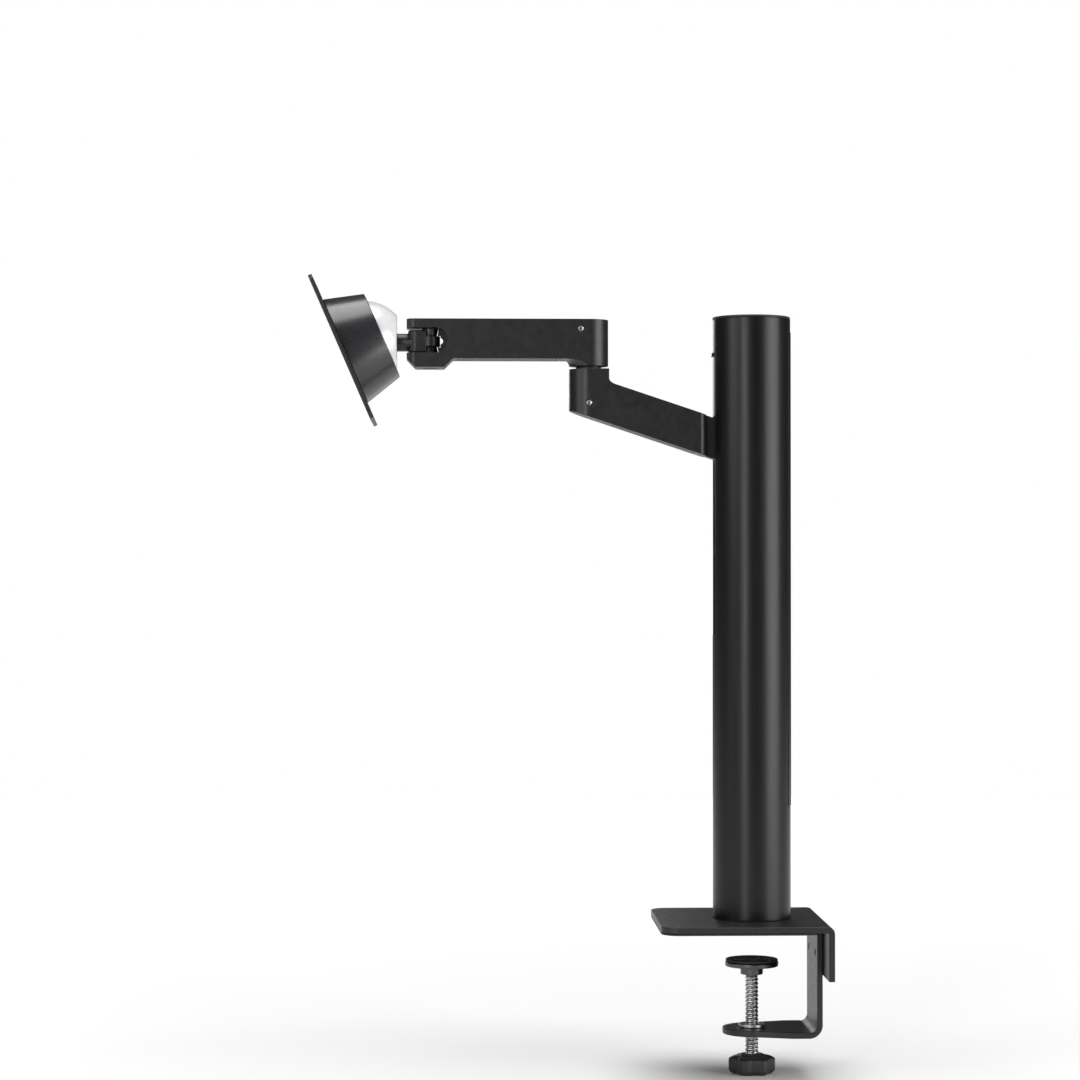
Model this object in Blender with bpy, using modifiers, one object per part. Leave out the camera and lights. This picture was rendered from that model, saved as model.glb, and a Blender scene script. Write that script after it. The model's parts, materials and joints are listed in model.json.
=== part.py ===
"""Desk-clamped monitor arm: a round column that swivels on its base, a spring-balanced carriage that
slides up and down in it, two links that fold at an elbow, and a head that yaws, tilts and pivots.

Frame: metres, +Z up, +X towards the rear edge of the desk. The origin is on the column's axis, at the
underside of the base, where the base lies on the desk. The arm reaches towards -X.
"""

import math

import bmesh
import bpy
from mathutils import Matrix, Vector

# ---------------------------------------------------------------- clearances
GAP = 0.0003  # between two pieces that touch
SLIP = 0.0006  # between a piece that slides and what guides it
EPS = 0.0005  # how far a cutter reaches past the face that it opens
WELD = 2e-6  # points closer than this are one

# ---------------------------------------------------------------- base and desk clamp
PAD_T = 0.0012
PLATE_T = 0.0045
BASE_FRONT = -0.0722
BASE_REAR = 0.0544
BASE_HALF_W = 0.0625
BASE_CORNER_R = 0.013
BEND_R = 0.005  # outer radius of the bend down into the rear flange
FLANGE_LOW = -0.034
PAD_INSET = 0.0003
BRACKET_T = 0.0042
BRACKET_HALF_W = 0.030
BRACKET_BEND_R = 0.010
JAW_R = 0.022
JAW_TOP = -0.076
JAW_T = 0.0045
DESK_T = 0.025  # the desk that the clamp is set to at rest
FOOT_PAD_T = 0.0015
FOOT_R = 0.020
FOOT_T = 0.0035
FOOT_HUB_R = 0.0085
FOOT_HUB_H = 0.0062
SCREW_R = 0.005
SCREW_TIP_R = 0.0045
KNOB_R = 0.0175
KNOB_LOBE = 0.0016
KNOB_LOBES = 6
KNOB_H = 0.0145
KNOB_TOP = -0.096
NUT_BODY_R = 0.0075
NUT_FLANGE_R = 0.010
NUT_FLANGE_T = 0.0022

# ---------------------------------------------------------------- column
COLUMN_R = 0.0293
COLUMN_WALL = 0.003
COLUMN_TOP = 0.4567
CAP_T = 0.0018
CAP_PLUG_H = 0.003
THRUST_T = 0.0004  # flange of the lower bush, under the end of the tube
SLOT_W = 0.015
FILLER_RECESS = 0.0002
REAR_HALF_ANGLE = math.radians(26)
REAR_PROUD = 0.0004
REAR_T = 0.002
REAR_LOW = 0.0905
REAR_HIGH = 0.4450
SPINDLE_FLANGE_T = 0.006
SPINDLE_SPIGOT_R = 0.010
SPINDLE_R = 0.014
SPINDLE_NECK_R = 0.008
SPINDLE_SHOULDER = 0.140
SPINDLE_TOP = 0.158
BUSH_H = 0.022
WASHER_T = 0.002
SPINDLE_NUT_H = 0.008
SPINDLE_NUT_R = 0.0125
GUIDE_R = 0.003
GUIDE_X = 0.0125
GUIDE_Y = 0.0145
RAIL_FOOT_T = 0.006

# ---------------------------------------------------------------- lift
LIFT = 0.130  # height travel, all of it below the rest position
CARRIAGE_BELOW = 0.027  # carriage below the neck
CARRIAGE_FRONT = -0.021
CARRIAGE_BACK = 0.019
SPOOL_X = 0.002
SPOOL_R = 0.014
SPOOL_DRUM_R = 0.009
SPOOL_HALF_W = 0.0105
SPOOL_JOURNAL_R = 0.0025
SPOOL_HEADROOM = 0.002  # above the coil
SPOOL_RISE = 0.022  # spool axle above the top of the carriage
BAND_T = 0.0005
BAND_HALF_W = 0.009
EAR_T = 0.0025
EAR_FROM_AXLE = 0.006
BRACKET_PLATE_T = 0.003

# ---------------------------------------------------------------- links
LINK_W = 0.0295
LINK_H = 0.0297
LINK_END_R = 0.006
UPPER_BELOW_TOP = 0.0025  # top of the upper link below the top of the column
HUB_DROP = 0.0049  # upper link's elbow hub below its underside
FLARE_SINK = 0.00005  # the hub's fillet ends this far inside the underside
ELBOW_GAP = 0.0023
ELBOW_REACH = 0.1226  # elbow axis from the column's axis
UPPER_REACH = 0.1191  # yaw axis from the elbow axis
FORK_BEYOND = 0.0173  # end of the upper link beyond the yaw axis
LOWER_SLOPE = math.radians(18.45)
LOWER_STEP = 0.0101  # elbow hub's top above the lower link's sloping top
LOWER_H = 0.031  # lower link's height, measured upright
LOWER_SHOULDER = 0.0055  # from the column's wall to the full-width link
LOWER_SHOULDER_R = 0.0055
HUB_FILLET = 0.0035
COVER_T = 0.0018
COVER_LEDGE = 0.0030
CAVITY_WALL = 0.0035
CAVITY_ROOF = 0.0055
ELBOW_PIN_R = 0.006
ELBOW_PIN_DEPTH = 0.0293
ELBOW_HEAD_R = 0.010
ELBOW_HEAD_BELOW = 0.0012  # head of the elbow pin, below the upper link's top
ELBOW_SOCKET_R = 0.0045
ELBOW_BUSH_R = 0.0087
ELBOW_WASHER_R = 0.0095
ELBOW_BORE_H = 0.0234  # bush bore, up to the seat of the pin's head
SET_SCREW_R = 0.0023
SET_SCREW_DEEP = 0.0008
UPPER_SET_X = -0.0062  # from the elbow axis
UPPER_SET_DROP = 0.0070  # below the upper link's top
LOWER_SET_DROP = 0.0255  # below the lower hub's top

# ---------------------------------------------------------------- yaw fork
WINDOW_LOW = 0.0044  # above the upper link's underside
WINDOW_HIGH = 0.0232
WINDOW_END = 0.0135  # beyond the yaw axis, towards the elbow
WEB_HALF_T = 0.0024  # the web that closes most of the window behind the knuckle
WEB_NOTCH = 0.0099  # beyond the yaw axis, and the notch through the web is an arc
WEB_NOTCH_HALF = 0.0032
WEB_CLEAR = 0.0005  # around the knuckle's barrel and the bushes' flanges
BOSS_DROP = 0.0065
BOSS_HALF = 0.0107
YAW_PIN_R = 0.003
YAW_HEAD_R = 0.0053
YAW_HEAD_H = 0.0029
KNUCKLE_GAP = 0.0008
KNUCKLE_R = 0.0077
KNUCKLE_FRONT = 0.0163
KNUCKLE_CORNER = 0.006
YAW_BUSH_FLANGE_R = 0.0062
YAW_BUSH_R = 0.0049
KNUCKLE_BLOCK_END = 0.0026  # block of the knuckle, short of the yaw axis
BARREL_HALF_H = 0.0039
YAW_FLANGE_TAPER = 0.001

# ---------------------------------------------------------------- head
ROD_R = 0.0067
ROD_RISE = 0.0127  # rod's axis above the upper link's underside
TILT_REACH = 0.0483  # tilt axis from the yaw axis
HEAD_DROP = math.radians(23.5)  # how far the head faces down at rest
DOME_R = 0.031
DOME_WALL = 0.0015
DOME_BACK = 0.0237  # flat back of the dome from its centre
DOME_RIM = 0.0005
DOME_HOLE_WALL = 0.0025
COLLAR_R = 0.010
COLLAR_FRONT = 0.009  # collar's front from the tilt axis
COLLAR_L = 0.006
TONGUE_HALF_W = 0.0054
TONGUE_R = 0.0072
ARM_IN = 0.0073
ARM_T = 0.0035
ARM_BOSS_R = 0.008
ARM_HALF_W = 0.007
TILT_PIN_R = 0.004
TILT_HEAD_R = 0.0065
TILT_HEAD_H = 0.0036
HEAD_DISC_R = 0.020
DISC_BACK = 0.0104
DISC_T = 0.0023
PIVOT_WASHER_T = 0.0006
PIVOT_FLANGE_T = 0.0022
SPIDER_T = 0.0016  # the pivot hub's four legs
SPIDER_HALF_W = 0.0045
PIVOT_R = 0.0045
PIVOT_NUT_R = 0.0069
PIVOT_NUT_T = 0.002
CONE_BACK = -0.0136
CONE_RIM_W = 0.0054  # flat rim around the opening for the dome
CONE_TAPER = 0.278  # growth in radius for each unit along the axis
CONE_WALL = 0.0025
CONE_RIM_T = 0.0027
CONE_CLEAR = 0.00045
LUG_R = 0.0034
LUG_L = 0.0085
LUG_IN = 0.0035  # from the housing's inner wall to the axis of a lug
PLATE_HALF = 0.0575
PLATE_CORNER = 0.008
MONITOR_PLATE_T = 0.003
VESA_LARGE = 0.100
VESA_SMALL = 0.075
VESA_HOLE_R = 0.00225
M3_R = 0.0015
M3_HEAD_R = 0.0029
M3_HEAD_H = 0.0016

# ---------------------------------------------------------------- facets
ROUND = 48
SMALL = 24
TINY = 12

# ---------------------------------------------------------------- worked out from the above
PLATE_TOP = PAD_T + GAP + PLATE_T
TUBE_LOW = PLATE_TOP + THRUST_T + 2 * GAP
TUBE_TOP = COLUMN_TOP - CAP_T - GAP
COLUMN_INNER = COLUMN_R - COLUMN_WALL
BUSH_OUT = COLUMN_INNER - GAP
FLANGE_R = BUSH_OUT - 0.0012 - GAP  # spindle's flange, inside the skirt of the lower bush
FLANGE_IN = BASE_REAR - PLATE_T
DESK_EDGE = FLANGE_IN - GAP - BRACKET_T
FOOT_TOP = -DESK_T
FOOT_PLATE_TOP = FOOT_TOP - FOOT_PAD_T - GAP
FOOT_LOW = FOOT_PLATE_TOP - FOOT_T - FOOT_HUB_H
SOCKET_TOP = FOOT_PLATE_TOP - FOOT_T - 0.001

UPPER_TOP = COLUMN_TOP - UPPER_BELOW_TOP
UPPER_LOW = UPPER_TOP - LINK_H
UPPER_HUB_LOW = UPPER_LOW - HUB_DROP
LOWER_HUB_TOP = UPPER_HUB_LOW - ELBOW_GAP
HUB_R = LINK_W / 2 + 0.0001
ELBOW_X = -ELBOW_REACH
YAW_X = ELBOW_X - UPPER_REACH
FORK_X = YAW_X - FORK_BEYOND
SHOULDER_X = -COLUMN_R - LOWER_SHOULDER
NECK_X = CARRIAGE_FRONT - GAP
NECK_HALF_W = SLOT_W / 2 - SLIP


def lower_top(x):
    """Height of the lower link's sloping top edge."""
    return LOWER_HUB_TOP - LOWER_STEP - math.tan(LOWER_SLOPE) * (x - ELBOW_X - HUB_R)


def lower_bottom(x):
    return lower_top(x) - LOWER_H


NECK_HIGH = lower_top(NECK_X)
NECK_LOW = lower_bottom(NECK_X)
CAP_LOW = TUBE_TOP - CAP_PLUG_H
SPOOL_PLATE_TOP = CAP_LOW - SLIP
SPOOL_PLATE_LOW = SPOOL_PLATE_TOP - BRACKET_PLATE_T
SPOOL_Z = SPOOL_PLATE_LOW - SPOOL_HEADROOM - SPOOL_R
CARRIAGE_HIGH = SPOOL_Z - SPOOL_RISE
CARRIAGE_LOW = NECK_LOW - CARRIAGE_BELOW
RAIL_FOOT_TOP = CARRIAGE_LOW - LIFT - 0.004
BAND_X = SPOOL_X - SPOOL_R - GAP - BAND_T
WINDOW_TOP = lower_top(-COLUMN_R) + 0.001
WINDOW_BOTTOM = lower_bottom(-COLUMN_INNER) - LIFT - 0.0008

FORK_LOW = UPPER_LOW + WINDOW_LOW
FORK_HIGH = UPPER_LOW + WINDOW_HIGH
KNUCKLE_LOW = FORK_LOW + KNUCKLE_GAP
KNUCKLE_HIGH = FORK_HIGH - 2 * KNUCKLE_GAP
ROD_Z = UPPER_LOW + ROD_RISE
TILT_X = YAW_X - TILT_REACH
ELBOW_SEAT = UPPER_HUB_LOW + ELBOW_BORE_H
WASHER_LOW = DISC_BACK + DISC_T + GAP
PIVOT_LOW = WASHER_LOW + PIVOT_WASHER_T + GAP
CONE_FRONT = PIVOT_LOW + PIVOT_FLANGE_T
MONITOR_PLATE_BACK = CONE_FRONT + GAP
MONITOR_PLATE_FRONT = MONITOR_PLATE_BACK + MONITOR_PLATE_T

# Frames: the rod's has its origin at the tilt axis and +Z along the rod, away from the column. The
# head's has the same origin and +Z towards the monitor.
ROD_FRAME = Matrix.Translation((TILT_X, 0, ROD_Z)) @ Matrix.Rotation(-math.pi / 2, 4, "Y")
HEAD_FRAME = Matrix.Translation((TILT_X, 0, ROD_Z)) @ Matrix.Rotation(-math.pi / 2 - HEAD_DROP, 4, "Y")
ALONG_Y = Matrix.Rotation(-math.pi / 2, 4, "X")
ALONG_X = Matrix.Rotation(math.pi / 2, 4, "Y")
UPSIDE_DOWN = Matrix.Rotation(math.pi, 4, "X")

# name: colour, roughness, metallic
FINISHES = {
    "satin_black": ((0.030, 0.030, 0.033), 0.42, 0.0),
    "column_black": ((0.035, 0.035, 0.039), 0.38, 0.0),
    "black_plastic": ((0.018, 0.018, 0.019), 0.55, 0.0),
    "silver_dome": ((0.78, 0.78, 0.79), 0.32, 0.0),
    "grey_cone": ((0.060, 0.060, 0.064), 0.28, 0.0),
    "dark_steel": ((0.050, 0.050, 0.052), 0.38, 0.8),
    "zinc_steel": ((0.62, 0.62, 0.64), 0.35, 1.0),
    "rubber": ((0.020, 0.020, 0.020), 0.85, 0.0),
    "nylon": ((0.70, 0.68, 0.62), 0.50, 0.0),
    "spring_steel": ((0.45, 0.45, 0.47), 0.30, 1.0),
}


# ---------------------------------------------------------------- scene and helpers
def clear_scene():
    for found in list(bpy.data.objects):
        bpy.data.objects.remove(found, do_unlink=True)


def new_collection(name):
    made = bpy.data.collections.new(name)
    bpy.context.scene.collection.children.link(made)
    return made


clear_scene()
PARTS = new_collection("monitor_arm")
CUTTERS = new_collection("cutters")


def make_materials():
    made = {}
    for name, (colour, roughness, metallic) in FINISHES.items():
        material = bpy.data.materials.new(name)
        material.use_nodes = True
        shader = material.node_tree.nodes["Principled BSDF"]
        shader.inputs["Base Color"].default_value = (*colour, 1.0)
        shader.inputs["Roughness"].default_value = roughness
        shader.inputs["Metallic"].default_value = metallic
        made[name] = material
    return made


MATERIALS = make_materials()


def new_object(name, mesh):
    made = bpy.data.objects.new(name, mesh)
    PARTS.objects.link(made)
    return made


def bake(obj):
    """Replaces the object's mesh with its evaluated one, with coinciding points welded, and drops its modifiers."""
    bpy.context.view_layer.update()
    graph = bpy.context.evaluated_depsgraph_get()
    mesh = bpy.data.meshes.new_from_object(obj.evaluated_get(graph))
    solid = bmesh.new()
    solid.from_mesh(mesh)
    bmesh.ops.remove_doubles(solid, verts=solid.verts, dist=WELD)
    solid.to_mesh(mesh)
    solid.free()
    obj.modifiers.clear()
    obj.data = mesh
    return obj


def arc(centre, radius, start, end, steps):
    """Points on an arc, both ends included. Angles are in degrees, counter-clockwise when end > start."""
    angles = [math.radians(start + (end - start) * i / steps) for i in range(steps + 1)]
    return [(centre[0] + radius * math.cos(a), centre[1] + radius * math.sin(a)) for a in angles]


def circle(centre, radius, steps=SMALL):
    return arc(centre, radius, 0, 360, steps)[:-1]


def rounded_box(low, high, radius, steps=6):
    """Outline of a rectangle with round corners, counter-clockwise."""
    (x0, y0), (x1, y1) = low, high
    points = arc((x1 - radius, y0 + radius), radius, -90, 0, steps)
    points += arc((x1 - radius, y1 - radius), radius, 0, 90, steps)
    points += arc((x0 + radius, y1 - radius), radius, 90, 180, steps)
    return points + arc((x0 + radius, y0 + radius), radius, 180, 270, steps)


def extruded(name, loops, depth):
    """A flat outline in XY, with holes as further loops, from z = 0 up to depth."""
    curve = bpy.data.curves.new(name, "CURVE")
    curve.dimensions = "2D"
    curve.fill_mode = "BOTH"
    curve.extrude = depth / 2
    for loop in loops:
        spline = curve.splines.new("POLY")
        spline.points.add(len(loop) - 1)
        for point, (x, y) in zip(spline.points, loop):
            point.co = (x, y, 0, 1)
        spline.use_cyclic_u = True
    drawn = new_object(name + "_outline", curve)
    bpy.context.view_layer.update()
    graph = bpy.context.evaluated_depsgraph_get()
    mesh = bpy.data.meshes.new_from_object(drawn.evaluated_get(graph))
    bpy.data.objects.remove(drawn, do_unlink=True)
    solid = bmesh.new()
    solid.from_mesh(mesh)
    bmesh.ops.remove_doubles(solid, verts=solid.verts, dist=WELD)
    bmesh.ops.translate(solid, verts=solid.verts, vec=(0, 0, depth / 2))
    bmesh.ops.recalc_face_normals(solid, faces=solid.faces)
    solid.to_mesh(mesh)
    solid.free()
    return new_object(name, mesh)


def layer(name, loops, low, high):
    """An outline in XY that fills the heights from low to high."""
    made = extruded(name, loops, high - low)
    return place(made, at(0, 0, low))


def side_cut(name, loops, half_width, middle=0.0):
    """An outline in XZ that fills the widths within half_width of the plane y = middle."""
    made = extruded(name, loops, 2 * half_width)
    return place(made, at(0, middle + half_width, 0) @ Matrix.Rotation(math.pi / 2, 4, "X"))


def turned(name, profile, steps=ROUND, closed=False):
    """A profile of (radius, height) points turned about Z. It runs down its outer side. A closed profile
    makes a ring, and an open one starts and ends on the axis."""
    mesh = bpy.data.meshes.new(name)
    edges = [(i, i + 1) for i in range(len(profile) - 1)]
    if closed:
        edges.append((len(profile) - 1, 0))
    mesh.from_pydata([(r, 0, z) for r, z in profile], edges, [])
    made = new_object(name, mesh)
    screw = made.modifiers.new("turn", "SCREW")
    screw.axis = "Z"
    screw.steps = steps
    screw.render_steps = steps
    screw.use_merge_vertices = True
    screw.merge_threshold = 1e-5
    screw.use_smooth_shade = False
    return made


def ring(name, inner, outer, low, high, steps=ROUND):
    return turned(name, [(outer, high), (outer, low), (inner, low), (inner, high)], steps, closed=True)


def cylinder(name, radius, low, high, steps=SMALL):
    """A cylinder on the Z axis between two heights."""
    mesh = bpy.data.meshes.new(name)
    solid = bmesh.new()
    middle = Matrix.Translation((0, 0, (low + high) / 2))
    bmesh.ops.create_cone(
        solid, cap_ends=True, segments=steps, radius1=radius, radius2=radius, depth=high - low, matrix=middle
    )
    solid.to_mesh(mesh)
    solid.free()
    return new_object(name, mesh)


def block(name, low, high):
    """A box between two corners."""
    mesh = bpy.data.meshes.new(name)
    solid = bmesh.new()
    size = Vector(high) - Vector(low)
    middle = (Vector(high) + Vector(low)) / 2
    bmesh.ops.create_cube(solid, size=1.0, matrix=Matrix.Translation(middle) @ Matrix.Diagonal((*size, 1)))
    solid.to_mesh(mesh)
    solid.free()
    return new_object(name, mesh)


def place(obj, frame):
    """Moves an object, modelled about the origin, by a frame."""
    obj.matrix_world = frame @ obj.matrix_world
    return obj


def boolean(target, operation, tools):
    for tool in tools:
        tool.hide_render = True
        tool.display_type = "WIRE"
        PARTS.objects.unlink(tool)
        CUTTERS.objects.link(tool)
        modifier = target.modifiers.new(operation.lower(), "BOOLEAN")
        modifier.operation = operation
        modifier.object = tool
        bake(target)
    return target


def subtract(target, *tools):
    return boolean(target, "DIFFERENCE", tools)


def unite(target, *tools):
    return boolean(target, "UNION", tools)


def intersect(target, *tools):
    return boolean(target, "INTERSECT", tools)


def copies(name, original, frames):
    """One object that holds a separate copy of the original at each frame."""
    bake(original)
    base = original.matrix_world.copy()
    group = bmesh.new()
    for frame in frames:
        known = len(group.verts)
        group.from_mesh(original.data)
        group.verts.ensure_lookup_table()
        bmesh.ops.transform(group, matrix=frame @ base, verts=group.verts[known:])
    mesh = bpy.data.meshes.new(name)
    group.to_mesh(mesh)
    group.free()
    bpy.data.objects.remove(original, do_unlink=True)
    return new_object(name, mesh)


def repeat(name, original, frames, material):
    """A sub-part that the object has several of: one object at each frame, all sharing one mesh."""
    finish(bake(original), material)
    base = original.matrix_world.copy()
    made = []
    for number, frame in enumerate(frames, 1):
        one = new_object(f"{name}_{number}", original.data)
        one.matrix_world = frame @ base
        made.append(one)
    bpy.data.objects.remove(original, do_unlink=True)
    return made


def countersunk(head_r, head_h, shank_r, length, grow=0.0):
    """Profile of a countersunk screw that points down, with its head's top at z = 0."""
    lip = 0.0004
    return [
        (0, grow),
        (head_r + grow, grow),
        (head_r + grow, -lip),
        (shank_r + grow, -head_h),
        (shank_r + grow, -length - grow),
        (0, -length - grow),
    ]


def at(x, y, z):
    return Matrix.Translation((x, y, z))


def finish(obj, material):
    """Gives a finished sub-part its material and its shading."""
    obj.data.materials.clear()
    obj.data.materials.append(MATERIALS[material])
    obj.data.shade_smooth()
    obj.data.set_sharp_from_angle(angle=math.radians(35))
    return obj


# ---------------------------------------------------------------- base
FLANGE_SCREW = (0.0048, 0.0026, 0.0025, 0.0082)
FLANGE_SCREW_PLACES = [at(BASE_REAR - 0.0001, y, -0.018) @ ALONG_X for y in (-0.018, 0.018)]


def screw_holes(name, screw, places):
    """Cutters for countersunk screws, a gap larger than the screws."""
    return copies(name, turned(name, countersunk(*screw, grow=GAP), TINY), places)


def make_base_plate():
    bend = (BASE_REAR - BEND_R, PLATE_TOP - BEND_R)
    side = [(BASE_FRONT, PLATE_TOP - PLATE_T)]
    side += arc(bend, BEND_R - PLATE_T, 90, 0, 5)
    side += [(FLANGE_IN, FLANGE_LOW), (BASE_REAR, FLANGE_LOW)]
    side += arc(bend, BEND_R, 0, 90, 8)
    side += [(BASE_FRONT, PLATE_TOP)]
    plate = side_cut("base_plate", [side], BASE_HALF_W)
    plan = arc((BASE_FRONT + BASE_CORNER_R, BASE_HALF_W - BASE_CORNER_R), BASE_CORNER_R, 90, 180, 8)
    plan += arc((BASE_FRONT + BASE_CORNER_R, BASE_CORNER_R - BASE_HALF_W), BASE_CORNER_R, 180, 270, 8)
    plan += [(BASE_REAR + EPS, -BASE_HALF_W - EPS), (BASE_REAR + EPS, BASE_HALF_W + EPS)]
    intersect(plate, layer("base_plan", [plan], FLANGE_LOW - EPS, PLATE_TOP + EPS))
    subtract(
        plate,
        cylinder("spigot_hole", SPINDLE_SPIGOT_R + GAP, 0, PLATE_TOP + EPS),
        screw_holes("flange_holes", FLANGE_SCREW, FLANGE_SCREW_PLACES),
    )
    return finish(plate, "satin_black")


def make_base_pad():
    low = (BASE_FRONT + PAD_INSET, PAD_INSET - BASE_HALF_W)
    high = (DESK_EDGE - PAD_INSET, BASE_HALF_W - PAD_INSET)
    return finish(layer("base_pad", [rounded_box(low, high, BASE_CORNER_R - PAD_INSET)], 0, PAD_T), "rubber")


def make_clamp_bracket():
    outer_x = DESK_EDGE + BRACKET_T
    jaw_low = JAW_TOP - JAW_T
    bend = (outer_x - BRACKET_BEND_R, jaw_low + BRACKET_BEND_R)
    leg_top = -0.0015
    side = [(-JAW_R - EPS, JAW_TOP), (-JAW_R - EPS, jaw_low)]
    side += arc(bend, BRACKET_BEND_R, -90, 0, 8)
    side += [(outer_x, leg_top), (DESK_EDGE, leg_top)]
    side += arc(bend, BRACKET_BEND_R - BRACKET_T, 0, -90, 6)[:-1]
    side += [(bend[0], JAW_TOP)]
    bracket = side_cut("clamp_bracket", [side], BRACKET_HALF_W)
    plan = arc((0, 0), JAW_R, 90, 270, 20)
    plan += [(BRACKET_HALF_W, -BRACKET_HALF_W - EPS), (outer_x + EPS, -BRACKET_HALF_W - EPS)]
    plan += [(outer_x + EPS, BRACKET_HALF_W + EPS), (BRACKET_HALF_W, BRACKET_HALF_W + EPS)]
    intersect(bracket, layer("bracket_plan", [plan], jaw_low - EPS, leg_top + EPS))
    subtract(
        bracket,
        cylinder("nut_hole", NUT_BODY_R + GAP, jaw_low - EPS, JAW_TOP + EPS),
        screw_holes("bracket_holes", FLANGE_SCREW, FLANGE_SCREW_PLACES),
    )
    return finish(bracket, "satin_black")


def make_bracket_screws():
    screw = turned("bracket_screw", countersunk(*FLANGE_SCREW), TINY)
    return repeat("bracket_screw", screw, FLANGE_SCREW_PLACES, "dark_steel")


def make_clamp_nut():
    flange_low = JAW_TOP + GAP
    body_low = JAW_TOP - JAW_T
    bore = SCREW_R + GAP
    profile = [
        (NUT_FLANGE_R, flange_low + NUT_FLANGE_T),
        (NUT_FLANGE_R, flange_low),
        (NUT_BODY_R, flange_low),
        (NUT_BODY_R, body_low),
        (bore, body_low),
        (bore, flange_low + NUT_FLANGE_T),
    ]
    return finish(turned("clamp_nut", profile, SMALL, closed=True), "zinc_steel")


def make_column_spindle():
    low = PLATE_TOP + GAP
    flange_top = low + SPINDLE_FLANGE_T
    profile = [
        (0, SPINDLE_TOP),
        (SPINDLE_NECK_R, SPINDLE_TOP),
        (SPINDLE_NECK_R, SPINDLE_SHOULDER),
        (SPINDLE_R, SPINDLE_SHOULDER),
        (SPINDLE_R, flange_top),
        (FLANGE_R, flange_top),
        (FLANGE_R, low),
        (SPINDLE_SPIGOT_R, low),
        (SPINDLE_SPIGOT_R, PAD_T + GAP),
        (0, PAD_T + GAP),
    ]
    return finish(turned("column_spindle", profile, 32), "zinc_steel")


def make_spindle_washer():
    low = SPINDLE_SHOULDER + GAP
    made = ring("spindle_washer", SPINDLE_NECK_R + GAP, COLUMN_INNER - 0.004, low, low + WASHER_T, 32)
    return finish(made, "nylon")


def make_spindle_nut():
    low = SPINDLE_SHOULDER + WASHER_T + 2 * GAP
    nut = layer("spindle_nut", [circle((0, 0), SPINDLE_NUT_R, 6), circle((0, 0), SPINDLE_NECK_R + GAP)],
                low, low + SPINDLE_NUT_H)
    return finish(nut, "zinc_steel")


# ---------------------------------------------------------------- clamp foot and screw
def make_clamp_foot():
    plate_low = FOOT_PLATE_TOP - FOOT_T
    socket = SCREW_TIP_R + GAP
    profile = [
        (0, FOOT_PLATE_TOP),
        (FOOT_R, FOOT_PLATE_TOP),
        (FOOT_R, plate_low),
        (FOOT_HUB_R, plate_low),
        (FOOT_HUB_R, FOOT_LOW),
        (socket, FOOT_LOW),
        (socket, SOCKET_TOP),
        (0, SOCKET_TOP),
    ]
    return finish(turned("clamp_foot", profile, 32), "dark_steel")


def make_foot_pad():
    return finish(cylinder("foot_pad", FOOT_R - 0.0005, FOOT_TOP - FOOT_PAD_T, FOOT_TOP, 32), "rubber")


def make_clamp_screw():
    tip = SOCKET_TOP - GAP
    neck_low = FOOT_LOW - GAP
    low = KNOB_TOP - KNOB_H * 0.7
    profile = [
        (0, tip),
        (SCREW_TIP_R, tip),
        (SCREW_TIP_R, neck_low),
        (SCREW_R, neck_low),
        (SCREW_R, low),
        (0, low),
    ]
    return finish(turned("clamp_screw", profile, SMALL), "zinc_steel")


def make_clamp_knob():
    around = 8 * KNOB_LOBES
    outline = []
    for i in range(around):
        angle = 2 * math.pi * i / around
        radius = KNOB_R - KNOB_LOBE + KNOB_LOBE * math.cos(KNOB_LOBES * angle)
        outline.append((radius * math.cos(angle), radius * math.sin(angle)))
    knob = layer("clamp_knob", [outline], KNOB_TOP - KNOB_H, KNOB_TOP)
    bore = cylinder("knob_bore", SCREW_R + GAP, KNOB_TOP - KNOB_H * 0.7 - GAP, KNOB_TOP + EPS)
    return finish(subtract(knob, bore), "black_plastic")


# ---------------------------------------------------------------- column
def half_angle(half_width, radius):
    return math.degrees(math.asin(half_width / radius))


def slot_strip(outer, inner, half_width, steps=8):
    """Outline of a curved strip that fills the front slot."""
    a = half_angle(half_width, outer)
    b = half_angle(half_width, inner)
    return arc((0, 0), outer, 180 - a, 180 + a, steps) + arc((0, 0), inner, 180 + b, 180 - b, steps)


def make_column_tube():
    a = half_angle(SLOT_W / 2, COLUMN_R)
    b = half_angle(SLOT_W / 2, COLUMN_INNER)
    outline = arc((0, 0), COLUMN_R, a - 180, 180 - a, 60) + arc((0, 0), COLUMN_INNER, 180 - b, b - 180, 48)
    tube = layer("column_tube", [outline], TUBE_LOW, TUBE_TOP)
    wide = REAR_HALF_ANGLE + GAP / COLUMN_R
    wedge = [(0, 0)] + arc((0, 0), COLUMN_R + 0.004, -math.degrees(wide), math.degrees(wide), 6)
    subtract(tube, layer("rear_window", [wedge], REAR_LOW - GAP, REAR_HIGH + GAP))
    return finish(tube, "column_black")


def make_column_cap():
    profile = [
        (0, COLUMN_TOP),
        (COLUMN_R - 0.0008, COLUMN_TOP),
        (COLUMN_R - 0.0001, COLUMN_TOP - 0.0007),
        (COLUMN_R - 0.0001, TUBE_TOP + GAP),
        (BUSH_OUT, TUBE_TOP + GAP),
        (BUSH_OUT, CAP_LOW),
        (0, CAP_LOW),
    ]
    return finish(turned("column_cap", profile), "black_plastic")


def make_rear_cover():
    degrees = math.degrees(REAR_HALF_ANGLE)
    outer = COLUMN_R + REAR_PROUD
    outline = arc((0, 0), outer, -degrees, degrees, 12) + arc((0, 0), outer - REAR_T, degrees, -degrees, 12)
    return finish(layer("rear_cable_cover", [outline], REAR_LOW, REAR_HIGH), "column_black")


def slot_filler(name, low, high):
    outline = slot_strip(COLUMN_R - FILLER_RECESS, COLUMN_INNER + GAP, SLOT_W / 2 - GAP)
    return finish(layer(name, [outline], low, high), "column_black")


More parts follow.
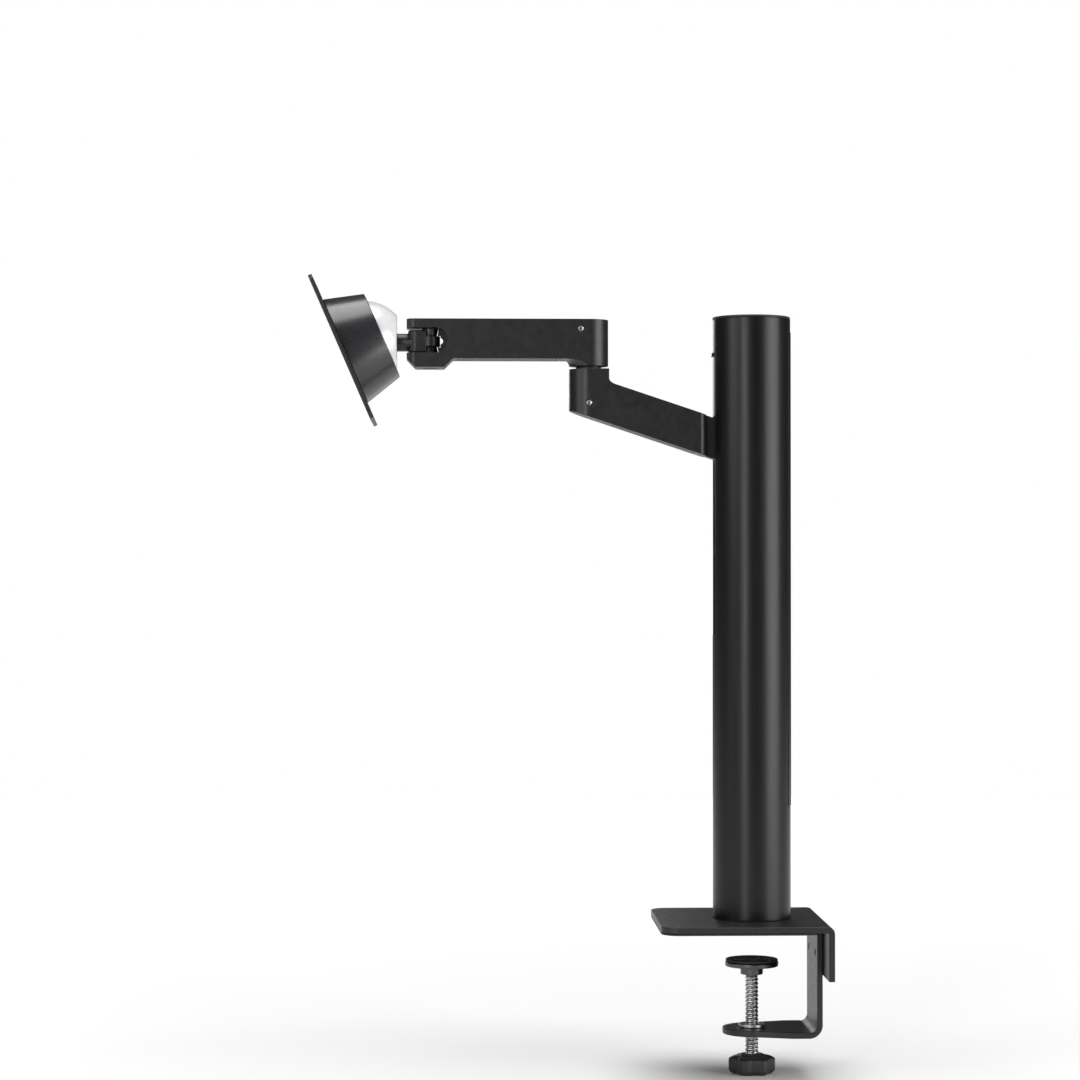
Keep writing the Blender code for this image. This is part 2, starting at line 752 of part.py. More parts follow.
def make_upper_filler():
    strip = slot_filler("upper_slot_filler", WINDOW_TOP, TUBE_TOP)
    catch_z = COLUMN_TOP - 0.0297
    catch = block("filler_catch", (-COLUMN_R - 0.0008, -0.004, catch_z), (-COLUMN_R + 0.002, 0.004, catch_z + 0.003))
    return unite(strip, catch)


def make_lower_filler():
    return slot_filler("lower_slot_filler", TUBE_LOW, WINDOW_BOTTOM)


def make_lower_bush():
    """It turns on the spindle and, with the flange of its skirt, carries the tube on the base plate."""
    skirt_low = PLATE_TOP + GAP
    low = skirt_low + SPINDLE_FLANGE_T + GAP
    profile = [
        (BUSH_OUT, low + BUSH_H),
        (BUSH_OUT, skirt_low + THRUST_T),
        (COLUMN_R - 0.0006, skirt_low + THRUST_T),
        (COLUMN_R - 0.0006, skirt_low),
        (FLANGE_R + GAP, skirt_low),
        (FLANGE_R + GAP, low),
        (SPINDLE_R + GAP, low),
        (SPINDLE_R + GAP, low + BUSH_H),
    ]
    return finish(turned("lower_swivel_bush", profile, closed=True), "black_plastic")


def make_upper_bush():
    high = SPINDLE_SHOULDER
    return finish(ring("upper_swivel_bush", SPINDLE_R + GAP, BUSH_OUT, high - BUSH_H, high, 32), "nylon")


def guide_places():
    return [(GUIDE_X, -GUIDE_Y), (GUIDE_X, GUIDE_Y)]


def make_guide_rods():
    rod = cylinder("guide_rod", GUIDE_R, RAIL_FOOT_TOP - RAIL_FOOT_T + EPS, SPOOL_PLATE_TOP - EPS, 16)
    return repeat("guide_rod", rod, [at(x, y, 0) for x, y in guide_places()], "zinc_steel")


def make_rail_foot():
    loops = [circle((0, 0), BUSH_OUT, ROUND)]
    loops += [circle(place_, GUIDE_R + GAP, 16) for place_ in guide_places()]
    return finish(layer("rail_foot", loops, RAIL_FOOT_TOP - RAIL_FOOT_T, RAIL_FOOT_TOP), "black_plastic")


def make_spool_bracket():
    loops = [circle((0, 0), BUSH_OUT, ROUND)]
    loops += [circle(place_, GUIDE_R + GAP, 16) for place_ in guide_places()]
    bracket = layer("spool_bracket", loops, SPOOL_PLATE_LOW, SPOOL_PLATE_TOP)
    ear_low = SPOOL_Z - EAR_FROM_AXLE
    near = SPOOL_HALF_W + SLIP
    for side in (-1, 1):
        inner, outer = sorted((side * near, side * (near + EAR_T)))
        ear = block("spool_ear", (SPOOL_X - 0.005, inner, ear_low), (SPOOL_X + 0.005, outer, SPOOL_PLATE_LOW + EPS))
        unite(bracket, ear)
    hole = cylinder("axle_hole", SPOOL_JOURNAL_R + GAP, -COLUMN_R, COLUMN_R, 16)
    return finish(subtract(bracket, place(hole, at(SPOOL_X, 0, SPOOL_Z) @ ALONG_Y)), "zinc_steel")


# ---------------------------------------------------------------- spring spool
def make_spring_drum():
    """The drum that the spring winds on, with its journals in the ears of the spool bracket."""
    reach = SPOOL_HALF_W + SLIP + EAR_T + 0.0005
    profile = [
        (0, reach),
        (SPOOL_JOURNAL_R, reach),
        (SPOOL_JOURNAL_R, SPOOL_HALF_W),
        (SPOOL_DRUM_R, SPOOL_HALF_W),
        (SPOOL_DRUM_R, -SPOOL_HALF_W),
        (SPOOL_JOURNAL_R, -SPOOL_HALF_W),
        (SPOOL_JOURNAL_R, -reach),
        (0, -reach),
    ]
    return finish(place(turned("spring_drum", profile, SMALL), at(SPOOL_X, 0, SPOOL_Z) @ ALONG_Y), "nylon")


def make_spring_coil():
    coil = ring("spring_coil", SPOOL_DRUM_R + GAP, SPOOL_R, -BAND_HALF_W, BAND_HALF_W, 32)
    return finish(place(coil, at(SPOOL_X, 0, SPOOL_Z) @ ALONG_Y), "spring_steel")


def make_spring_band():
    low = CARRIAGE_HIGH + 0.001
    band = block("spring_band", (BAND_X, -BAND_HALF_W, low), (BAND_X + BAND_T, BAND_HALF_W, SPOOL_Z))
    return finish(band, "spring_steel")


def make_band_anchor():
    right = BAND_X - GAP
    low = CARRIAGE_HIGH + GAP
    outline = [
        (CARRIAGE_FRONT + 0.0005, low),
        (right, low),
        (right, low + 0.0075),
        (right - 0.0022, low + 0.0075),
        (right - 0.0022, low + 0.0025),
        (CARRIAGE_FRONT + 0.0005, low + 0.0025),
    ]
    return finish(side_cut("band_anchor", [outline], BAND_HALF_W), "zinc_steel")


# ---------------------------------------------------------------- carriage
NECK_SCREW_Z = [(NECK_LOW + NECK_HIGH) / 2 + d for d in (-0.0075, 0.0075)]
NECK_SCREW_R = 0.003
NECK_SCREW_HEAD_R = 0.005
NECK_SCREW_HEAD_H = 0.006
NECK_SCREW_SEAT = -0.006
NECK_SCREW_END = -0.033


def along_x(name, radius, x0, x1, z, steps=16):
    """A cylinder along X between x0 and x1, at y = 0."""
    return place(cylinder(name, radius, x0, x1, steps), at(0, 0, z) @ ALONG_X)


def make_carriage_block():
    radius = COLUMN_INNER - SLIP
    outline = [(min(max(x, CARRIAGE_FRONT), CARRIAGE_BACK), y) for x, y in circle((0, 0), radius, ROUND)]
    loops = [outline] + [circle(place_, GUIDE_R + GAP, 16) for place_ in guide_places()]
    body = layer("carriage_block", loops, CARRIAGE_LOW, CARRIAGE_HIGH)
    for z in NECK_SCREW_Z:
        subtract(
            body,
            along_x("neck_bolt_hole", NECK_SCREW_R + GAP, CARRIAGE_FRONT - EPS, NECK_SCREW_SEAT + EPS, z),
            along_x("neck_head_hole", NECK_SCREW_HEAD_R + GAP, NECK_SCREW_SEAT, CARRIAGE_BACK + EPS, z),
        )
    return finish(body, "black_plastic")


def make_neck_screws():
    head = NECK_SCREW_SEAT + GAP
    profile = [
        (0, head + NECK_SCREW_HEAD_H),
        (NECK_SCREW_HEAD_R, head + NECK_SCREW_HEAD_H),
        (NECK_SCREW_HEAD_R, head),
        (NECK_SCREW_R, head),
        (NECK_SCREW_R, NECK_SCREW_END),
        (0, NECK_SCREW_END),
    ]
    frames = [at(0, 0, z) @ ALONG_X for z in NECK_SCREW_Z]
    return repeat("neck_screw", turned("neck_screw", profile, 16), frames, "dark_steel")


def plan_outline(end_x, hub_x, half_width, end_radius, grow=0.0):
    """Plan of a link with a half-round hub at hub_x: the hub faces away from end_x."""
    sign = 1 if end_x > hub_x else -1
    hub = arc((hub_x, 0), half_width + grow, 90, 90 + 180 * sign, 24)
    corner_x = end_x - sign * end_radius
    turn = 0 if sign > 0 else 180
    low = arc((corner_x, -half_width + end_radius), end_radius, turn - 90 * sign, turn, 6)
    high = arc((corner_x, half_width - end_radius), end_radius, turn, turn + 90 * sign, 6)
    return hub + low + high


def make_lower_link():
    left = ELBOW_X - HUB_R
    right = ELBOW_X + HUB_R
    corner = right + HUB_FILLET
    side = [
        (left, LOWER_HUB_TOP),
        (right, LOWER_HUB_TOP),
        (right, lower_top(corner) + HUB_FILLET),
        (right + 0.3 * HUB_FILLET, lower_top(corner) + 0.35 * HUB_FILLET),
        (corner, lower_top(corner)),
        (NECK_X, NECK_HIGH),
        (NECK_X, NECK_LOW),
        (left, lower_bottom(left)),
    ]
    link = side_cut("lower_link", [side], HUB_R + EPS)
    shoulder = (SHOULDER_X - LOWER_SHOULDER_R, LINK_W / 2 - LOWER_SHOULDER_R)
    neck_angle = math.degrees(math.asin((NECK_HALF_W - shoulder[1]) / LOWER_SHOULDER_R))
    reach = shoulder[0] + LOWER_SHOULDER_R * math.cos(math.radians(neck_angle))
    upper = arc(shoulder, LOWER_SHOULDER_R, neck_angle, 90, 6)
    hub = arc((ELBOW_X, 0), LINK_W / 2, 90, 270, 28)
    lower = [(x, -y) for x, y in reversed(upper)]
    neck = [(reach, -NECK_HALF_W), (NECK_X + EPS, -NECK_HALF_W), (NECK_X + EPS, NECK_HALF_W), (reach, NECK_HALF_W)]
    intersect(link, layer("lower_plan", [hub + lower[:-1] + neck + upper[1:]], NECK_LOW - 0.02, LOWER_HUB_TOP + EPS))
    x0, x1 = lower_cavity()
    hollow = [
        (x0, lower_bottom(x0) - EPS),
        (x1, lower_bottom(x1) - EPS),
        (x1, lower_top(x1) - CAVITY_ROOF),
        (x0, lower_top(x0) - CAVITY_ROOF),
    ]
    pin_low = LOWER_HUB_TOP - ELBOW_PIN_DEPTH - GAP
    pin_hole = cylinder("lower_pin_hole", ELBOW_PIN_R + GAP, pin_low, LOWER_HUB_TOP + EPS)
    subtract(
        link,
        side_cut("lower_hollow", [hollow], LINK_W / 2 - CAVITY_WALL),
        side_cut("lower_ledge", [lower_cover_outline(GAP)], LINK_W / 2 - CAVITY_WALL + COVER_LEDGE / 2 + GAP),
        place(pin_hole, at(ELBOW_X, 0, 0)),
        set_screw_hole("lower_set_hole", ELBOW_X, lower_set_z(), ELBOW_PIN_R),
    )
    for z in NECK_SCREW_Z:
        subtract(link, along_x("neck_thread", NECK_SCREW_R + GAP, NECK_SCREW_END - GAP, NECK_X + EPS, z))
    return finish(link, "satin_black")


def lower_cavity():
    """Both ends of the lower link's hollow, along X."""
    return ELBOW_X + HUB_R + 0.006, SHOULDER_X - 0.012


def lower_cover_outline(grow=0.0):
    """Side view of the lower link's bottom cover. With a clearance, it is the ledge that holds it."""
    x0, x1 = lower_cavity()
    x0 -= COVER_LEDGE + grow
    x1 += COVER_LEDGE + grow
    drop = EPS if grow else 0.0
    rise = COVER_T + grow
    return [
        (x0, lower_bottom(x0) - drop),
        (x1, lower_bottom(x1) - drop),
        (x1, lower_bottom(x1) + rise),
        (x0, lower_bottom(x0) + rise),
    ]


def make_lower_cover():
    half = LINK_W / 2 - CAVITY_WALL + COVER_LEDGE / 2
    return finish(side_cut("lower_link_cover", [lower_cover_outline()], half), "black_plastic")


def lower_set_z():
    return LOWER_HUB_TOP - LOWER_SET_DROP


def set_screw_hole(name, x, z, inner):
    hole = cylinder(name, SET_SCREW_R + GAP, inner, LINK_W / 2 + EPS, 16)
    return place(hole, at(x, 0, z) @ ALONG_Y.inverted())


def set_screw(name, x, z, inner):
    """A grub screw in the link's side that faces -Y, with a hexagon socket."""
    outer = LINK_W / 2 - SET_SCREW_DEEP
    screw = cylinder(name, SET_SCREW_R, inner + GAP, outer, 16)
    socket = cylinder(name + "_socket", 0.0013, outer - 0.0022, outer + EPS, 6)
    subtract(screw, socket)
    return finish(place(screw, at(x, 0, z) @ ALONG_Y.inverted()), "dark_steel")


def make_lower_set_screw():
    return set_screw("lower_set_screw", ELBOW_X, lower_set_z(), ELBOW_PIN_R)


def make_elbow_pin():
    low = LOWER_HUB_TOP - ELBOW_PIN_DEPTH
    head = ELBOW_SEAT + GAP
    profile = [
        (0, UPPER_TOP - ELBOW_HEAD_BELOW),
        (ELBOW_HEAD_R, UPPER_TOP - ELBOW_HEAD_BELOW),
        (ELBOW_HEAD_R, head),
        (ELBOW_PIN_R, head),
        (ELBOW_PIN_R, low),
        (0, low),
    ]
    pin = turned("elbow_pin", profile, SMALL)
    top = UPPER_TOP - ELBOW_HEAD_BELOW
    subtract(pin, cylinder("elbow_socket", ELBOW_SOCKET_R, top - ELBOW_SOCKET_R, top + EPS, 6))
    return finish(place(bake(pin), at(ELBOW_X, 0, 0)), "dark_steel")


# ---------------------------------------------------------------- upper link
def upper_cavity():
    """Both ends of the upper link's hollow, along X."""
    return YAW_X + WINDOW_END + 0.0105, ELBOW_X - HUB_R - HUB_DROP - 0.0075


def make_upper_link():
    boss_low = UPPER_LOW - BOSS_DROP
    chamfer = BOSS_DROP / (FORK_BEYOND - BOSS_HALF)
    side = [
        (FORK_X - EPS, UPPER_TOP),
        (FORK_X - EPS, UPPER_LOW + chamfer * EPS),
        (YAW_X - BOSS_HALF, boss_low),
        (YAW_X + BOSS_HALF, boss_low),
        (YAW_X + BOSS_HALF + BOSS_DROP, UPPER_LOW),
        (ELBOW_X + HUB_R + EPS, UPPER_LOW),
        (ELBOW_X + HUB_R + EPS, UPPER_TOP),
    ]
    link = side_cut("upper_link", [side], HUB_R + EPS)
    flare_top = UPPER_LOW + FLARE_SINK
    flare = [(0, flare_top + 0.001), (HUB_R + HUB_DROP, flare_top + 0.001)]
    flare += arc((HUB_R + HUB_DROP, flare_top - HUB_DROP), HUB_DROP, 90, 180, 6)
    flare += [(HUB_R, UPPER_HUB_LOW), (0, UPPER_HUB_LOW)]
    unite(link, place(turned("hub_flare", flare, ROUND), at(ELBOW_X, 0, 0)))
    plan = plan_outline(FORK_X, ELBOW_X, LINK_W / 2, LINK_END_R)
    intersect(link, layer("upper_plan", [plan], boss_low - EPS, UPPER_TOP + EPS))
    window_r = (FORK_HIGH - FORK_LOW) / 2
    window_z = FORK_LOW + window_r
    open_end = [(FORK_X - EPS, FORK_HIGH), (FORK_X - EPS, FORK_LOW)]
    recess = open_end + arc((YAW_X + WINDOW_END - window_r, window_z), window_r, -90, 90, 16)
    web_x = YAW_X + KNUCKLE_R + WEB_CLEAR
    sagitta = YAW_X + WEB_NOTCH - web_x
    notch_r = (WEB_NOTCH_HALF**2 + sagitta**2) / (2 * sagitta)
    notch_turn = math.degrees(math.asin(WEB_NOTCH_HALF / notch_r))
    notch = arc((YAW_X + WEB_NOTCH - notch_r, window_z), notch_r, -notch_turn, notch_turn, 8)
    lip_x = YAW_X + YAW_BUSH_FLANGE_R + WEB_CLEAR
    barrel_low, barrel_high = barrel_middle() - BARREL_HALF_H - WEB_CLEAR, barrel_middle() + BARREL_HALF_H + WEB_CLEAR
    window = open_end + [(lip_x, FORK_LOW), (lip_x, barrel_low), (web_x, barrel_low)] + notch
    window += [(web_x, barrel_high), (lip_x, barrel_high), (lip_x, FORK_HIGH)]
    recess_y = (WEB_HALF_T + LINK_W) / 2
    x0, x1 = upper_cavity()
    half = LINK_W / 2 - CAVITY_WALL
    hollow = rounded_box((x0, -half), (x1, half), 0.003, 3)
    ledge = upper_cover_outline(GAP)
    seat = ELBOW_SEAT
    subtract(
        link,
        side_cut("fork_window", [window], LINK_W),
        side_cut("left_recess", [recess], recess_y - WEB_HALF_T, recess_y),
        side_cut("right_recess", [recess], recess_y - WEB_HALF_T, -recess_y),
        layer("upper_hollow", [hollow], UPPER_LOW - EPS, UPPER_TOP - CAVITY_ROOF),
        layer("upper_ledge", [ledge], UPPER_LOW - EPS, UPPER_LOW + COVER_T + GAP),
        place(cylinder("bush_bore", ELBOW_BUSH_R + GAP, UPPER_HUB_LOW - EPS, seat + EPS), at(ELBOW_X, 0, 0)),
        place(cylinder("head_bore", ELBOW_HEAD_R + 0.0005, seat, UPPER_TOP + EPS), at(ELBOW_X, 0, 0)),
        place(cylinder("yaw_head_bore", YAW_HEAD_R + GAP, boss_low - EPS, yaw_seat()), at(YAW_X, 0, 0)),
        place(cylinder("yaw_bore", YAW_PIN_R + GAP, boss_low, UPPER_TOP - 0.003), at(YAW_X, 0, 0)),
        set_screw_hole("upper_set_hole", ELBOW_X + UPPER_SET_X, UPPER_TOP - UPPER_SET_DROP, set_screw_stop()),
    )
    return finish(link, "satin_black")


def yaw_seat():
    """Height of the seat that the yaw pin's head bears on."""
    return UPPER_LOW - BOSS_DROP + YAW_HEAD_H + 0.0006


def set_screw_stop():
    """How deep the upper set screw goes: just short of the elbow pin's head."""
    nearest = abs(UPPER_SET_X) - SET_SCREW_R
    return math.sqrt(ELBOW_HEAD_R**2 - nearest**2)


def upper_cover_outline(grow=0.0):
    x0, x1 = upper_cavity()
    ledge = COVER_LEDGE + grow
    half = LINK_W / 2 - CAVITY_WALL + COVER_LEDGE / 2 + grow
    return rounded_box((x0 - ledge, -half), (x1 + ledge, half), 0.004, 3)


def make_upper_cover():
    return finish(layer("upper_link_cover", [upper_cover_outline()], UPPER_LOW, UPPER_LOW + COVER_T), "black_plastic")


def make_elbow_bush():
    bush = ring("elbow_bush", ELBOW_PIN_R + GAP, ELBOW_BUSH_R, UPPER_HUB_LOW, ELBOW_SEAT - GAP, SMALL)
    return finish(place(bush, at(ELBOW_X, 0, 0)), "nylon")


def make_elbow_washer():
    washer = ring("elbow_washer", ELBOW_PIN_R + GAP, ELBOW_WASHER_R, LOWER_HUB_TOP + GAP, UPPER_HUB_LOW - GAP, SMALL)
    return finish(place(washer, at(ELBOW_X, 0, 0)), "black_plastic")


def make_upper_set_screw():
    return set_screw("upper_set_screw", ELBOW_X + UPPER_SET_X, UPPER_TOP - UPPER_SET_DROP, set_screw_stop())


def make_yaw_pin():
    seat = yaw_seat() - GAP
    profile = [
        (0, UPPER_TOP - 0.003 - GAP),
        (YAW_PIN_R, UPPER_TOP - 0.003 - GAP),
        (YAW_PIN_R, seat),
        (YAW_HEAD_R, seat),
        (YAW_HEAD_R, seat - YAW_HEAD_H),
        (0, seat - YAW_HEAD_H),
    ]
    return finish(place(turned("yaw_pin", profile, 16), at(YAW_X, 0, 0)), "dark_steel")


# ---------------------------------------------------------------- yaw knuckle, rod and dome
def barrel_middle():
    return (KNUCKLE_LOW + KNUCKLE_HIGH) / 2


def make_yaw_knuckle():
    corner = (-KNUCKLE_FRONT + KNUCKLE_CORNER, KNUCKLE_R - KNUCKLE_CORNER)
    plan = [(-KNUCKLE_BLOCK_END, -KNUCKLE_R), (-KNUCKLE_BLOCK_END, KNUCKLE_R)]
    plan += arc(corner, KNUCKLE_CORNER, 90, 180, 7)
    plan += arc((corner[0], -corner[1]), KNUCKLE_CORNER, 180, 270, 7)
    knuckle = place(layer("yaw_knuckle", [plan], KNUCKLE_LOW, KNUCKLE_HIGH), at(YAW_X, 0, 0))
    middle = barrel_middle()
    low, high = middle - BARREL_HALF_H, middle + BARREL_HALF_H
    rod_from = KNUCKLE_FRONT - KNUCKLE_CORNER - TILT_REACH
    rod_to = -COLLAR_FRONT - 0.0011
    unite(
        knuckle,
        place(cylinder("barrel", KNUCKLE_R, low, high), at(YAW_X, 0, 0)),
        place(cylinder("head_rod", ROD_R, rod_from, rod_to, SMALL), ROD_FRAME),
    )
    seats = [
        cylinder("knuckle_bore", YAW_BUSH_R + GAP, KNUCKLE_LOW - EPS, KNUCKLE_HIGH + EPS),
        cylinder("low_seat", YAW_BUSH_FLANGE_R + GAP, KNUCKLE_LOW - EPS, low),
        cylinder("high_seat", YAW_BUSH_FLANGE_R + GAP, high, KNUCKLE_HIGH + EPS),
    ]
    subtract(knuckle, *[place(seat, at(YAW_X, 0, 0)) for seat in seats])
    return finish(knuckle, "satin_black")


def make_yaw_bushes():
    middle = barrel_middle()
    flange_in = middle - BARREL_HALF_H - GAP
    bore = YAW_PIN_R + GAP
    profile = [
        (YAW_BUSH_R, middle - GAP),
        (YAW_BUSH_R, flange_in),
        (YAW_BUSH_FLANGE_R - YAW_FLANGE_TAPER, flange_in),
        (YAW_BUSH_FLANGE_R, FORK_LOW + GAP),
        (bore, FORK_LOW + GAP),
        (bore, middle - GAP),
    ]
    bush = place(turned("yaw_bush", profile, SMALL, closed=True), at(0, 0, -middle))
    frames = [at(YAW_X, 0, middle), at(YAW_X, 0, middle) @ UPSIDE_DOWN]
    return repeat("yaw_bush", bush, frames, "dark_steel")


def sphere_radius(radius, height):
    return math.sqrt(radius**2 - height**2)


def sphere_arc(radius, top, bottom, steps):
    """Points down a sphere's side between two heights."""
    a = math.degrees(math.asin(top / radius))
    b = math.degrees(math.asin(bottom / radius))
    return arc((0, 0), radius, a, b, steps)


def make_dome():
    inner_r = DOME_R - DOME_WALL
    hole = ROD_R + GAP
    sleeve_top = -COLLAR_FRONT - COLLAR_L - GAP
    profile = sphere_arc(DOME_R, DOME_RIM, -DOME_BACK + 0.0012, 10)
    profile += [(sphere_radius(DOME_R, DOME_BACK - 0.0012) - 0.0020, -DOME_BACK), (hole, -DOME_BACK)]
    profile += [(hole, sleeve_top), (hole + DOME_HOLE_WALL, sleeve_top)]
    profile += [(hole + DOME_HOLE_WALL, -DOME_BACK + DOME_WALL)]
    profile += list(reversed(sphere_arc(inner_r, DOME_RIM, -DOME_BACK + DOME_WALL, 8)))
    return finish(place(turned("dome_cover", profile, ROUND, closed=True), ROD_FRAME), "silver_dome")


def make_tilt_yoke():
    back = -COLLAR_FRONT - COLLAR_L
    floor = -COLLAR_FRONT - 0.0008
    hole = ROD_R + GAP
    profile = [(0, -COLLAR_FRONT), (COLLAR_R, -COLLAR_FRONT), (COLLAR_R, back), (hole, back), (hole, floor), (0, floor)]
    yoke = place(turned("tilt_yoke", profile, SMALL), ROD_FRAME)
    outline = [(COLLAR_FRONT + 0.0004, -TONGUE_R), (COLLAR_FRONT + 0.0004, TONGUE_R)]
    outline += arc((0, 0), TONGUE_R, 90, 270, 14)
    tongue = place(side_cut("yoke_tongue", [outline], TONGUE_HALF_W), at(TILT_X, 0, ROD_Z))
    pin_hole = cylinder("yoke_hole", TILT_PIN_R + GAP, -TONGUE_HALF_W - EPS, TONGUE_HALF_W + EPS)
    unite(yoke, tongue)
    return finish(subtract(yoke, place(pin_hole, at(TILT_X, 0, ROD_Z) @ ALONG_Y)), "dark_steel")


# ---------------------------------------------------------------- tilting head
def make_tilt_bracket():
    loops = [circle((0, 0), HEAD_DISC_R, 32), circle((0, 0), PIVOT_R + GAP)]
    bracket = layer("tilt_bracket", loops, DISC_BACK, DISC_BACK + DISC_T)
    outline = arc((0, 0), ARM_BOSS_R, 180 + 29, 360 - 29, 12)
    outline += [(ARM_HALF_W, DISC_BACK + 0.001), (-ARM_HALF_W, DISC_BACK + 0.001)]
    for side in (-1, 1):
        middle = side * (ARM_IN + ARM_T / 2)
        unite(bracket, side_cut("bracket_arm", [outline], ARM_T / 2, middle))
    reach = ARM_IN + ARM_T + EPS
    hole = place(cylinder("bracket_hole", TILT_PIN_R + GAP, -reach, reach), ALONG_Y)
    subtract(bracket, hole)
    place(bake(bracket), HEAD_FRAME)
    return finish(bracket, "dark_steel")


TILT_STACK = ARM_IN + ARM_T  # outer face of each bracket arm


def make_tilt_pin():
    head = TILT_STACK + GAP
    end = -(TILT_STACK + TILT_HEAD_H + GAP + 0.0008)
    shank = cylinder("tilt_pin", TILT_PIN_R, end, head + 0.0005, 16)
    unite(shank, cylinder("tilt_pin_head", TILT_HEAD_R, head, head + TILT_HEAD_H, 6))
    return finish(place(bake(shank), HEAD_FRAME @ ALONG_Y.inverted()), "dark_steel")


def make_friction_washers():
    washer = ring("friction_washer", TILT_PIN_R + GAP, TONGUE_R, TONGUE_HALF_W + GAP, ARM_IN - GAP, SMALL)
    return repeat("friction_washer", washer, [HEAD_FRAME @ ALONG_Y, HEAD_FRAME @ ALONG_Y.inverted()], "nylon")


def make_tilt_nut():
    low = TILT_STACK + GAP
    loops = [circle((0, 0), TILT_HEAD_R, 6), circle((0, 0), TILT_PIN_R + GAP, 16)]
    nut = layer("tilt_nut", loops, low, low + TILT_HEAD_H)
    return finish(place(nut, HEAD_FRAME @ ALONG_Y), "dark_steel")


def make_pivot_washer():
    washer = ring("pivot_washer", PIVOT_R + GAP, HEAD_DISC_R - 0.002, WASHER_LOW, WASHER_LOW + PIVOT_WASHER_T, 32)
    return finish(place(washer, HEAD_FRAME), "nylon")


# ---------------------------------------------------------------- pivoting head
CONE_BACK_R = sphere_radius(DOME_R + CONE_CLEAR, CONE_BACK) + CONE_RIM_W


def cone_radius(height):
    return CONE_BACK_R + CONE_TAPER * (height - CONE_BACK)


LUG_PITCH_R = cone_radius(CONE_FRONT) - CONE_WALL - LUG_IN
LUG_PLACES = [at(LUG_PITCH_R * math.cos(a), LUG_PITCH_R * math.sin(a), 0) for a in
              (math.radians(45 + 90 * i) for i in range(4))]
PLATE_SCREW = (M3_HEAD_R, M3_HEAD_H, M3_R, 0.0100)


def make_pivot_hub():
    tail = DISC_BACK - GAP - PIVOT_NUT_T - 0.0002
    profile = [
        (0, CONE_FRONT),
        (HEAD_DISC_R, CONE_FRONT),
        (HEAD_DISC_R, PIVOT_LOW),
        (PIVOT_R, PIVOT_LOW),
        (PIVOT_R, tail),
        (0, tail),
    ]
    hub = turned("pivot_hub", profile, 32)
    reach = sphere_radius(cone_radius(CONE_FRONT - SPIDER_T) - CONE_WALL - GAP, SPIDER_HALF_W)
    for turn in (45, 135):
        leg = block("hub_leg", (-reach, -SPIDER_HALF_W, CONE_FRONT - SPIDER_T), (reach, SPIDER_HALF_W, CONE_FRONT))
        unite(hub, place(leg, Matrix.Rotation(math.radians(turn), 4, "Z")))
    subtract(hub, plate_screw_holes("hub_holes"))
    return finish(place(bake(hub), HEAD_FRAME), "zinc_steel")


def plate_screw_holes(name):
    top = at(0, 0, MONITOR_PLATE_FRONT)
    return screw_holes(name, PLATE_SCREW, [top @ lug for lug in LUG_PLACES])


def make_pivot_nut():
    high = DISC_BACK - GAP
    nut = ring("pivot_nut", PIVOT_R + GAP, PIVOT_NUT_R, high - PIVOT_NUT_T, high, SMALL)
    return finish(place(nut, HEAD_FRAME), "zinc_steel")


def make_cone_housing():
    open_r = DOME_R + CONE_CLEAR
    shelf = CONE_BACK + CONE_RIM_T
    edge = 0.0008
    profile = [
        (cone_radius(CONE_FRONT), CONE_FRONT),
        (cone_radius(CONE_BACK + edge), CONE_BACK + edge),
        (CONE_BACK_R - edge, CONE_BACK),
    ]
    profile += list(reversed(sphere_arc(open_r, shelf, CONE_BACK, 4)))
    profile += [(cone_radius(shelf) - CONE_WALL, shelf), (cone_radius(CONE_FRONT) - CONE_WALL, CONE_FRONT)]
    cone = turned("cone_housing", profile, 64, closed=True)
    lug_high = CONE_FRONT - SPIDER_T - GAP
    lugs = copies("housing_lugs", cylinder("lug", LUG_R, lug_high - LUG_L, lug_high, 16), LUG_PLACES)
    middle_wall = CONE_WALL / 2
    limit = [(0, CONE_FRONT), (cone_radius(CONE_FRONT) - middle_wall, CONE_FRONT)]
    limit += [(cone_radius(shelf) - middle_wall, shelf), (0, shelf)]
    unite(cone, intersect(lugs, turned("lug_limit", limit, 64)))
    subtract(cone, plate_screw_holes("lug_holes"))
    return finish(place(bake(cone), HEAD_FRAME), "grey_cone")


def make_monitor_plate():
    loops = [rounded_box((-PLATE_HALF, -PLATE_HALF), (PLATE_HALF, PLATE_HALF), PLATE_CORNER)]
    for pitch in (VESA_LARGE, VESA_SMALL):
        loops += [circle((sx * pitch / 2, sy * pitch / 2), VESA_HOLE_R, 16) for sx in (-1, 1) for sy in (-1, 1)]
    plate = layer("monitor_plate", loops, MONITOR_PLATE_BACK, MONITOR_PLATE_FRONT)
    subtract(plate, plate_screw_holes("plate_holes"))
    return finish(place(bake(plate), HEAD_FRAME), "satin_black")


def make_plate_screws():
    top = HEAD_FRAME @ at(0, 0, MONITOR_PLATE_FRONT - 0.0001)
    screw = turned("plate_screw", countersunk(*PLATE_SCREW), TINY)
    return repeat("plate_screw", screw, [top @ lug for lug in LUG_PLACES], "dark_steel")


